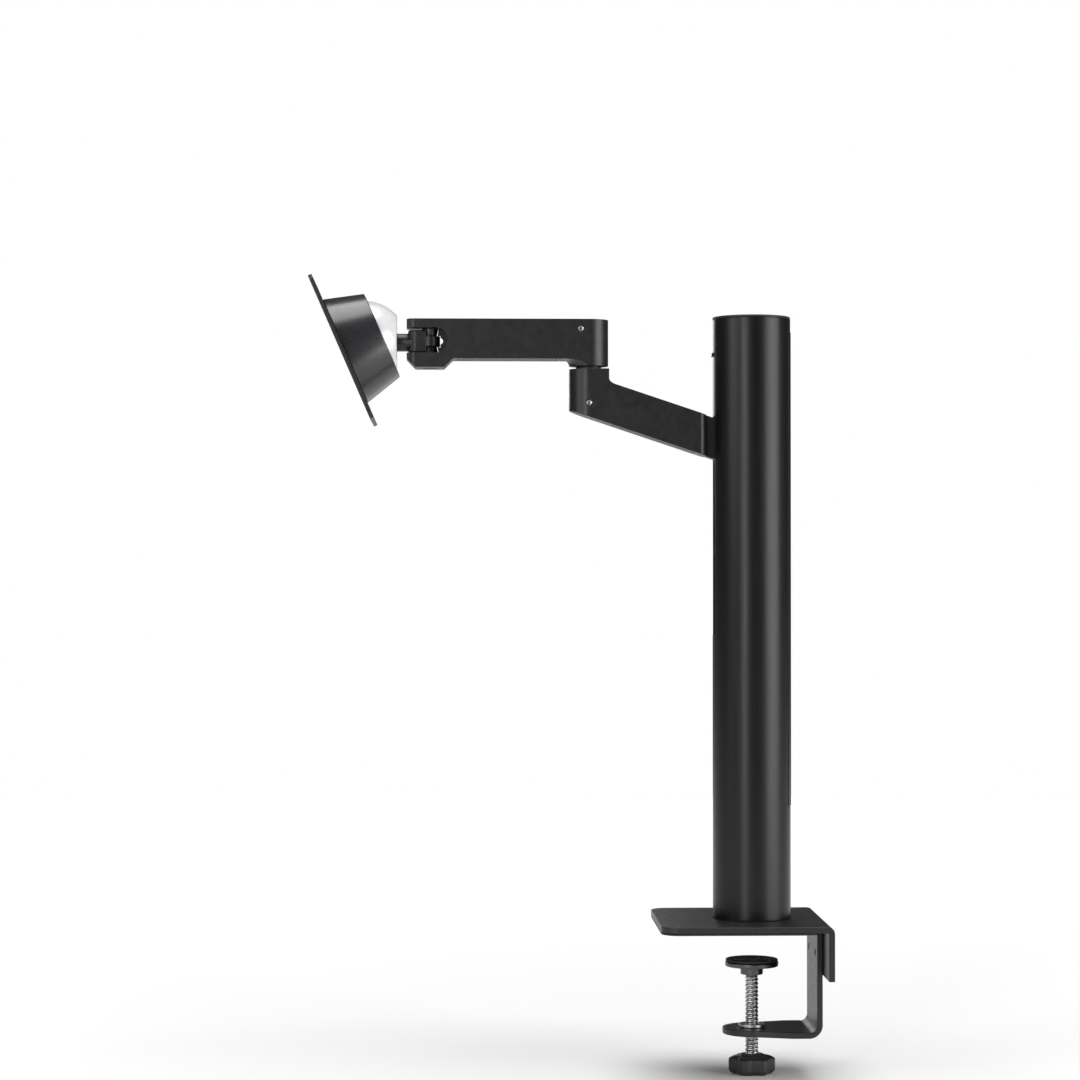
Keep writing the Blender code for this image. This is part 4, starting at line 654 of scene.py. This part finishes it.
def build_column():
    a = half_angle(SLOT_HALF, COLUMN_R)
    b = half_angle(SLOT_HALF, COLUMN_IN)
    outside, inside = 260, 200  # steps around
    outline = arc((0, 0), COLUMN_R, a - 180, 180 - a, outside)
    outline += arc((0, 0), COLUMN_IN, 180 - b, b - 180, inside)
    outline = soften(outline, 0.0006, only={0, outside, outside + 1, outside + inside + 1})
    tube = prism("column_tube_fine", outline, TUBE_LOW, TUBE_TOP)
    wide = COVER_ANGLE + math.degrees(GAP / COLUMN_R)
    wedge = [(0, 0)] + arc((0, 0), COLUMN_R + 0.004, -wide, wide, 24)
    cover_low, cover_high = heights_of("rear_cable_cover")
    cut(tube, prism("window", wedge, cover_low - GAP, cover_high + GAP))
    dress(smooth(tube, 30, weighted=False), "column_tube")

    outer, across = high_of("rear_cable_cover").x, 48
    outline = arc((0, 0), outer, -COVER_ANGLE, COVER_ANGLE, across)
    outline += arc((0, 0), outer - 0.002, COVER_ANGLE, -COVER_ANGLE, 40)
    cover = prism("rear_cable_cover_fine", soften(outline, 0.0005, only={0, across}), cover_low, cover_high)
    dress(smooth(bevel(cover, 0.0004)), "rear_cable_cover")

    edge, plug, rim, low = COLUMN_R - 0.0001, COLUMN_IN - GAP, TUBE_TOP + GAP, low_of("column_cap").z
    profile = [(0, COLUMN_TOP), (edge, COLUMN_TOP), (edge, rim), (plug, rim), (plug, low), (0, low)]
    cap = lathe("column_cap_fine", soften(profile, 0.0009, closed=False, steps=6), 256)
    dress(smooth(cap), "column_cap")

    plan = strip(COLUMN_R - 0.0002, COLUMN_IN + GAP, SLOT_HALF - GAP, 0.0004)
    for name in ("upper_slot_filler", "lower_slot_filler"):
        filler = prism(f"{name}_fine", plan, *heights_of(name))
        bevel(filler, 0.0003)
        if name == "upper_slot_filler":
            front, back = -COLUMN_R - 0.0008, -COLUMN_R + 0.002
            low, top = 0.4270, 0.4300
            catch = [(front, low), (front, top), (back, top), (back, low)]
            join(filler, bevel(side_prism("catch", catch, 0.004), 0.0004))
        dress(smooth(filler), name)

    low, top = heights_of("lower_swivel_bush")
    outer, flange, bore = COLUMN_IN - GAP, COLUMN_R - 0.0006, 0.0143
    inner = outer - 0.0012
    flange_top, floor_low = low + 0.0004, low + 0.0063
    profile = [(outer, top), (outer, flange_top), (flange, flange_top), (flange, low), (inner, low)]
    profile += [(inner, floor_low), (bore, floor_low), (bore, top)]
    bush = lathe("lower_swivel_bush_fine", soften(profile, 0.0002), 256, closed=True)
    dress(smooth(bush), "lower_swivel_bush")


# ---------------------------------------------------------------- links
def lower_top(x):
    return SLOPE_TOP - math.tan(LOWER_SLOPE) * (x - ELBOW_X - HUB_R)


def lower_bottom(x):
    return lower_top(x) - LOWER_H


def set_screw(node, x, z, inner):
    """A grub screw across the link, from the distance inner to just inside the link's near side."""
    outer = LINK_W / 2 - 0.0008
    point_r, thread_r, dish = 0.0014, 0.0023, outer - 0.0003
    profile = [(0, inner), (point_r, inner), (thread_r, inner + 0.0010), (thread_r, outer - 0.0007)]
    profile += arc((0.00175, outer - 0.0006), 0.00055, 0, 90, 8) + [(0.0013, dish), (0, dish)]
    screw = lathe(f"{node}_fine", profile, 64)
    hex_cut(screw, Matrix.Identity(4), 0.0023, outer, 0.0022)
    return dress(smooth(place(screw, at(x, 0, z) @ ALONG_Y.inverted())), node, slot="zinc_steel")


def set_hole(x, z, inner):
    """The threaded hole of a grub screw, with the countersink that catches the light."""
    thread_r, mouth_r = 0.00235, 0.0033
    low, high = LINK_W / 2 - 0.0006, LINK_W / 2 + 0.0004
    profile = [(0, inner), (thread_r, inner), (thread_r, low), (mouth_r, high), (0, high)]
    return place(lathe("set_hole", profile, 64), at(x, 0, z) @ ALONG_Y.inverted())


def curve(start, middle, end, steps):
    """A quadratic curve from start to end, pulled towards middle."""
    start, middle, end = Vector(start), Vector(middle), Vector(end)
    shares = [k / steps for k in range(steps + 1)]
    return [tuple(start * (1 - t) ** 2 + middle * 2 * t * (1 - t) + end * t**2) for t in shares]


def build_lower_link():
    left, right = ELBOW_X - HUB_R - 0.0005, ELBOW_X + HUB_R
    corner = right + 0.0035
    end = corner + 0.0008
    fillet = curve(
        (right, lower_top(corner) + 0.0042), (right, lower_top(right) + 0.0002), (end, lower_top(end)), 12
    )
    side = [(left, LOWER_HUB_TOP), (right, LOWER_HUB_TOP)] + fillet
    side += [(NECK_X, lower_top(NECK_X)), (NECK_X, lower_bottom(NECK_X)), (left, lower_bottom(left))]
    link = side_prism("lower_link_fine", side, 0.016)

    shoulder_r = 0.0055
    shoulder = (SHOULDER_X - shoulder_r, LINK_W / 2 - shoulder_r)
    angle = math.degrees(math.asin((NECK_HALF - shoulder[1]) / shoulder_r))
    reach = shoulder[0] + shoulder_r * math.cos(math.radians(angle))
    upper = arc(shoulder, shoulder_r, angle, 90, 20)
    hub = arc((ELBOW_X, 0), LINK_W / 2, 90, 270, 96)
    lower = [(x, -y) for x, y in reversed(upper)]
    past = NECK_X + 0.003
    neck = [(reach, -NECK_HALF), (past, -NECK_HALF), (past, NECK_HALF), (reach, NECK_HALF)]
    common(link, prism("plan", hub + lower[:-1] + neck + upper[1:], 0.33, 0.43))
    bevel(link, 0.0007)

    x0, x1 = ELBOW_X + HUB_R + 0.006, SHOULDER_X - 0.012
    hollow = [(x0, lower_bottom(x0) - 0.002), (x1, lower_bottom(x1) - 0.002)]
    hollow += [(x1, lower_top(x1) - HOLLOW_ROOF), (x0, lower_top(x0) - HOLLOW_ROOF)]
    a, b = x0 - LEDGE_OUT, x1 + LEDGE_OUT
    ledge = [(a, lower_bottom(a) - 0.002), (b, lower_bottom(b) - 0.002)]
    ledge += [(b, lower_bottom(b) + LEDGE_H), (a, lower_bottom(a) + LEDGE_H)]
    pin_hole = rod("pin_hole", PIN_BORE_R, LOWER_HUB_TOP - 0.0296, LOWER_HUB_TOP + OVER, 64)
    cut(
        link,
        side_prism("hollow", hollow, HOLLOW_HALF),
        side_prism("ledge", ledge, LEDGE_HALF),
        place(pin_hole, at(ELBOW_X, 0, 0)),
        set_hole(ELBOW_X, LOWER_SET_Z, 0.0058),
    )
    for screw in ("neck_screw_1", "neck_screw_2"):
        middle = sum(heights_of(screw)) / 2
        thread = rod("thread", 0.0033, low_of(screw).x - GAP, -0.020, 32)
        cut(link, place(thread, at(0, 0, middle) @ ALONG_X))
    dress(smooth(link), "lower_link")

    a, b = x0 - COVER_OUT, x1 + COVER_OUT
    cover = [(a, lower_bottom(a)), (b, lower_bottom(b))]
    cover += [(b, lower_bottom(b) + COVER_H), (a, lower_bottom(a) + COVER_H)]
    cover = side_prism("lower_link_cover_fine", cover, COVER_HALF)
    dress(smooth(bevel(cover, 0.0004)), "lower_link_cover")
    set_screw("lower_set_screw", ELBOW_X, LOWER_SET_Z, 0.0063)


def build_elbow():
    low, top, shank_r, head_r = LOWER_HUB_TOP - 0.0293, UPPER_TOP - 0.0012, 0.006, 0.010
    seat = HEAD_SEAT + GAP
    profile = [(0, top), (head_r, top), (head_r, seat), (shank_r, seat), (shank_r, low), (0, low)]
    pin = lathe("elbow_pin_fine", soften(profile, 0.0007, closed=False, steps=5), 96)
    hex_cut(pin, Matrix.Identity(4), 0.0078, top, 0.0045)
    dress(smooth(place(pin, at(ELBOW_X, 0, 0))), "elbow_pin")
    for node, radius in (("elbow_washer", 0.0095), ("elbow_bush", 0.0087)):
        made = ring(f"{node}_fine", PIN_BORE_R, radius, *heights_of(node))
        dress(smooth(place(made, at(ELBOW_X, 0, 0))), node)


def fork_window(half):
    """The solids to cut at the fork: an opening with a notch in its web, and a recess on each side."""
    radius = (FORK_HIGH - FORK_LOW) / 2
    middle = FORK_LOW + radius
    open_end = [(FORK_X - 0.002, FORK_HIGH), (FORK_X - 0.002, FORK_LOW)]
    recess = open_end + arc((YAW_X + RECESS_REACH - radius, middle), radius, -90, 90, 48)

    web_x, notch_x, notch_half, web_half = YAW_X + KNUCKLE_R + 0.00025, YAW_X + 0.0099, 0.0026, 0.0024
    sagitta = notch_x - web_x
    notch_r = (notch_half**2 + sagitta**2) / (2 * sagitta)
    turn = math.degrees(math.asin(notch_half / notch_r))
    notch = arc((notch_x - notch_r, middle), notch_r, -turn, turn, 24)
    lip_x, taper = YAW_X + BUSH_FLANGE_R + 0.00045, 0.0009
    barrel_low, barrel_high = BARREL_Z - BARREL_HALF - 0.0005, BARREL_Z + BARREL_HALF + 0.0005
    window = open_end + [(lip_x, FORK_LOW), (lip_x - taper, barrel_low), (web_x, barrel_low)] + notch
    window += [(web_x, barrel_high), (lip_x - taper, barrel_high), (lip_x, FORK_HIGH)]

    past = half + 0.0004
    depth = (past - web_half) / 2
    return (
        side_prism("window", window, past),
        side_prism("left_recess", recess, depth, web_half + depth),
        side_prism("right_recess", recess, depth, -web_half - depth),
    )


def build_upper_link():
    drop = UPPER_LOW - BOSS_LOW
    boss = 0.0107
    rise = drop / (YAW_X - FORK_X - boss)
    front, rear = FORK_X - 0.0005, ELBOW_X + 0.015
    side = [(front, UPPER_TOP), (front, UPPER_LOW + rise * 0.0005), (YAW_X - boss, BOSS_LOW)]
    side += [(YAW_X + boss, BOSS_LOW), (YAW_X + boss + drop, UPPER_LOW), (rear, UPPER_LOW), (rear, UPPER_TOP)]
    link = side_prism("upper_link_fine", side, 0.0155)

    drop = UPPER_LOW - UPPER_HUB_LOW
    flare = [(0, UPPER_LOW + OVER), (HUB_R + drop, UPPER_LOW + OVER)]
    flare += arc((HUB_R + drop, UPPER_LOW + 0.00005 - drop), drop, 90, 180, 16)
    flare += [(HUB_R, UPPER_HUB_LOW), (0, UPPER_HUB_LOW)]
    join(link, place(lathe("flare", flare, 160), at(ELBOW_X, 0, 0)))

    half, end_r = LINK_W / 2, 0.006
    plan = arc((ELBOW_X, 0), half, 90, -90, 96)
    plan += arc((FORK_X + end_r, -half + end_r), end_r, 270, 180, 18)
    plan += arc((FORK_X + end_r, half - end_r), end_r, 180, 90, 18)
    common(link, prism("plan", plan, BOSS_LOW - OVER, UPPER_TOP + OVER))
    bevel(link, 0.0007, 38)

    x0, x1 = YAW_X + RECESS_REACH + 0.0105, ELBOW_X - HUB_R - drop - 0.0075

    def under(out, half_width, radius):
        low, high = x0 - out, x1 + out
        outline = [(low, -half_width), (high, -half_width), (high, half_width), (low, half_width)]
        return soften(outline, radius, steps=8)

    head_r, low, high = 0.0105, UPPER_TOP - 0.0005, UPPER_TOP + 0.0005
    head_bore = [(0, HEAD_SEAT), (head_r, HEAD_SEAT), (head_r, low), (head_r + 0.001, high), (0, high)]
    yaw_roof = UPPER_TOP - YAW_ROOF
    cut(
        link,
        *fork_window(half),
        prism("hollow", under(0, HOLLOW_HALF, 0.004), UPPER_LOW - OVER, UPPER_TOP - HOLLOW_ROOF),
        prism("ledge", under(LEDGE_OUT, LEDGE_HALF, 0.005), UPPER_LOW - OVER, UPPER_LOW + LEDGE_H),
        place(rod("bush_bore", 0.0090, UPPER_HUB_LOW - OVER, HEAD_SEAT + 0.0005, 64), at(ELBOW_X, 0, 0)),
        place(lathe("head_bore", head_bore, 96), at(ELBOW_X, 0, 0)),
        place(rod("yaw_head_bore", 0.0056, BOSS_LOW - OVER, BOSS_LOW + YAW_SEAT, 64), at(YAW_X, 0, 0)),
        place(rod("yaw_bore", 0.0033, BOSS_LOW, yaw_roof, 48), at(YAW_X, 0, 0)),
        set_hole(ELBOW_X - SET_SHIFT, UPPER_SET_Z, 0.0092),
    )
    dress(smooth(link), "upper_link")

    outline = under(COVER_OUT, COVER_HALF, 0.005)
    cover = prism("upper_link_cover_fine", outline, UPPER_LOW, UPPER_LOW + COVER_H)
    dress(smooth(bevel(cover, 0.0004)), "upper_link_cover")
    set_screw("upper_set_screw", ELBOW_X - SET_SHIFT, UPPER_SET_Z, 0.0096)

    shank_r, head_r, top, seat = 0.003, 0.0053, yaw_roof - GAP, BOSS_LOW + YAW_SEAT - GAP
    low = seat - 0.0029
    profile = [(0, top), (shank_r, top), (shank_r, seat), (head_r, seat), (head_r, low), (0, low)]
    pin = lathe("yaw_pin_fine", soften(profile, 0.0005, closed=False), 64)
    hex_cut(pin, at(0, 0, low) @ UPSIDE_DOWN, 0.0040, 0.0, 0.0022)
    dress(smooth(place(pin, at(YAW_X, 0, 0))), "yaw_pin")


# ---------------------------------------------------------------- head
def build_knuckle():
    low, high, middle = KNUCKLE_LOW, KNUCKLE_HIGH, BARREL_Z
    corner, back = 0.006, -0.0026
    front, side = -0.0163 + corner, KNUCKLE_R - corner
    outline = [(back, -KNUCKLE_R), (back, KNUCKLE_R)]
    outline += arc((front, side), corner, 90, 180, 28) + arc((front, -side), corner, 180, 270, 28)
    knuckle = place(prism("yaw_knuckle_fine", outline, low, high), at(YAW_X, 0, 0))
    bevel(knuckle, 0.0009, segments=4)
    barrel_low, barrel_high = middle - BARREL_HALF, middle + BARREL_HALF
    profile = [(0, barrel_low), (KNUCKLE_R, barrel_low), (KNUCKLE_R, barrel_high), (0, barrel_high)]
    barrel = lathe("barrel", soften(profile, 0.0006, closed=False), 96)
    bar_r, bar_low, bar_high = 0.0067, -0.0380, -0.0101
    profile = [(0, bar_low), (bar_r, bar_low), (bar_r, bar_high), (0, bar_high)]
    bar = lathe("bar", soften(profile, 0.0003, closed=False), 96)
    join(knuckle, place(barrel, at(YAW_X, 0, 0)), place(bar, ROD_FRAME))
    for radius, start, end in (
        (0.0052, low - OVER, high + OVER),
        (BUSH_FLANGE_R + GAP, low - OVER, barrel_low),
        (BUSH_FLANGE_R + GAP, barrel_high, high + OVER),
    ):
        cut(knuckle, place(rod("bore", radius, start, end, 72), at(YAW_X, 0, 0)))
    dress(smooth(knuckle), "yaw_knuckle")

    # both bushes are drawn as the lower one, and the second is turned over about the barrel's middle
    sleeve_r, bore_r = 0.0049, 0.0033
    inner, flange_in = middle - GAP, barrel_low - GAP
    turned = at(YAW_X, 0, 2 * middle) @ UPSIDE_DOWN
    for k, (spot, end) in enumerate(((at(YAW_X, 0, 0), FORK_LOW), (turned, 2 * middle - FORK_HIGH)), 1):
        profile = [(sleeve_r, inner), (sleeve_r, flange_in), (BUSH_FLANGE_R - 0.001, flange_in)]
        profile += [(BUSH_FLANGE_R + 0.0002, end + GAP), (bore_r, end + GAP), (bore_r, inner)]
        bush = lathe(f"yaw_bush_{k}_fine", soften(profile, 0.0004), 72, closed=True)
        dress(smooth(place(bush, spot)), f"yaw_bush_{k}")


def sphere_arc(radius, top, bottom, steps):
    """The part of a circle about the tilt axis between two heights."""
    a = math.degrees(math.asin(top / radius))
    b = math.degrees(math.asin(bottom / radius))
    return arc((0, 0), radius, a, b, steps)


def build_head():
    dome_r, dome_in, dome_top, rim_z = 0.031, 0.0295, 0.0005, -0.0225
    hole, step = 0.0070, 0.0095
    low, shelf, inside = -0.0237, -0.0153, -0.0222
    rim_r = math.sqrt(dome_r**2 - rim_z**2)
    profile = [(rim_r - 0.0006, -0.0234), (rim_r - 0.0020, low), (hole + 0.0008, low), (hole, low + 0.0008)]
    profile += [(hole, shelf), (step, shelf), (step, inside)]
    profile += list(reversed(sphere_arc(dome_in, dome_top, inside, 40)))
    outer = sphere_arc(dome_r, dome_top, rim_z, 48)
    dome = lathe("dome_cover_fine", outer + soften(profile, 0.0006, closed=False), 192, closed=True)
    dress(smooth(place(dome, ROD_FRAME), 50, weighted=False), "dome_cover")

    back, front, taper, wall, hollow_r = -0.0136, 0.01638, 0.278, 0.0025, 0.03145
    back_r = math.sqrt(hollow_r**2 - back**2) + 0.0054

    def cone(height):
        return back_r + taper * (height - back)

    shelf = back + 0.0027
    profile = [(cone(front), front), (cone(back), back)]
    profile += list(reversed(sphere_arc(hollow_r, shelf, back, 10)))
    profile += [(cone(shelf) - wall, shelf), (cone(front) - wall, front)]
    housing = lathe("cone_housing_fine", soften(profile, 0.0009, steps=6), 256, closed=True)
    dress(smooth(place(housing, HEAD_FRAME), 40, weighted=False), "cone_housing")

    low, high, half, corner_r = 0.0164, 0.0194, 0.0575, 0.008
    outline = rounded_plan((-half, -half), (half, half), corner_r, 16)
    plate = bevel(prism("monitor_plate_fine", outline, low, high), 0.0005)
    hole_r, mouth_r, ease, out = 0.00225, 0.0032, 0.0004, 0.0006
    profile = [(0, low - out), (mouth_r, low - out), (hole_r, low + ease), (hole_r, high - ease)]
    profile += [(mouth_r, high + out), (0, high + out)]
    for reach in (0.050, 0.0375):  # the 100 mm and the 75 mm square
        for sx in (-1, 1):
            for sy in (-1, 1):
                cut(plate, place(lathe("hole", profile, 40), at(sx * reach, sy * reach, 0)))
    pitch_r = cone(front) - wall - 0.0035
    spots = [at(x, y, high) for x, y in arc((0, 0), pitch_r, 45, 315, 3)]
    for spot in spots:
        cut(plate, place(sunk_hole(PLATE_SCREW, 2 * (high - low)), spot))
    dress(smooth(place(plate, HEAD_FRAME)), "monitor_plate")

    for k, spot in enumerate(spots, 1):
        screw = sunk_screw(f"plate_screw_{k}_fine", PLATE_SCREW, 0.0100, (0.0004, 0.0004), 0.00015, 48)
        hex_cut(screw, Matrix.Identity(4), 0.0020, 0.0, 0.0013)
        dress(smooth(place(screw, HEAD_FRAME @ at(0, 0, -0.0001) @ spot)), f"plate_screw_{k}")


build_base()
build_clamp()
build_column()
build_lower_link()
build_elbow()
build_upper_link()
build_knuckle()
build_head()

# ---------------------------------------------------------------- studio
FLOOR_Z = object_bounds()[0][2] - 0.0002
FLOOR_LOW, FLOOR_HIGH = (-2.2, -1.0), (2.2, 2.6)
FLOOR_NEAR, FLOOR_FAR = (0.72, 0.72, 0.72), (0.93, 0.93, 0.93)
FLOOR_FADE = 0.15, 1.5  # distances over which the near grey turns into the far one
WORLD_LIGHT = 0.06  # the white background as a light; the camera sees it at 1.0
CAMERA_SPOT = (-0.2265, -2.100, 0.263)
CAMERA_UP, CAMERA_RIGHT = 0.716, 1.84  # how far the view is turned from +Y, in degrees


def floor_material():
    """Pale grey under the arm, turning white further out."""
    n = Nodes("pale_floor")
    distance = n.tree.nodes.new("ShaderNodeVectorMath")
    distance.operation = "LENGTH"
    n.link(n.coordinates, distance.inputs[0])
    spread = n.ranged(distance.outputs["Value"], 0.0, 1.0, *FLOOR_FADE)
    n.colour(spread, FLOOR_NEAR, FLOOR_FAR, 0.0, 1.0)
    n.bump((n.noise(900, 3), 0.02, 0.0001))
    return n.set(Roughness=0.9, Specular_IOR_Level=0.2).material


floor = box_solid("floor", (*FLOOR_LOW, FLOOR_Z - 0.01), (*FLOOR_HIGH, FLOOR_Z))
floor.data.materials.append(floor_material())


def area_light(name, spot, aim, size, power):
    data = bpy.data.lights.new(name, "AREA")
    data.shape = "RECTANGLE"
    data.size, data.size_y = size
    data.energy = power
    light = bpy.data.objects.new(name, data)
    bpy.context.scene.collection.objects.link(light)
    light.location = spot
    light.rotation_euler = (Vector(aim) - Vector(spot)).to_track_quat("-Z", "Y").to_euler()


# the two strips make the streaks on the column; backdrop_left lights the far left of the base
area_light("strip_left", (-1.05, -2.2, 0.55), (0.0, 0, 0.25), (0.46, 1.6), 15)
area_light("strip_right", (1.75, -1.05, 0.45), (0.0, 0, 0.25), (1.45, 1.8), 40)
area_light("backdrop_left", (-0.75, 3.0, 0.66), (0.0, 0, 0.2), (1.7, 0.5), 9)
area_light("head_fill", (-1.6, -0.9, 0.9), (-0.3, 0, 0.43), (0.9, 0.9), 8)
sun_data = bpy.data.lights.new("ceiling", "SUN")
sun_data.energy = 3.0
sun_data.angle = math.radians(50)
sun = bpy.data.objects.new("ceiling", sun_data)
bpy.context.scene.collection.objects.link(sun)

world = bpy.data.worlds.new("studio")
world.use_nodes = True
tree = world.node_tree
background = tree.nodes["Background"]
path = tree.nodes.new("ShaderNodeLightPath")
strength = tree.nodes.new("ShaderNodeMapRange")
strength.inputs["To Min"].default_value = WORLD_LIGHT
strength.inputs["To Max"].default_value = 1.0
background.inputs["Color"].default_value = (1, 1, 1, 1)
tree.links.new(path.outputs["Is Camera Ray"], strength.inputs["Value"])
tree.links.new(strength.outputs["Result"], background.inputs["Strength"])
bpy.context.scene.world = world
bpy.context.scene.view_settings.view_transform = "Standard"

camera_data = bpy.data.cameras.new("camera")
camera_data.sensor_width = 36
camera_data.lens = 93.33
camera_data.clip_end = 60
camera = bpy.data.objects.new("camera", camera_data)
bpy.context.scene.collection.objects.link(camera)
camera.location = CAMERA_SPOT
camera.rotation_euler = (math.radians(90 + CAMERA_UP), 0, math.radians(-CAMERA_RIGHT))
bpy.context.scene.camera = camera
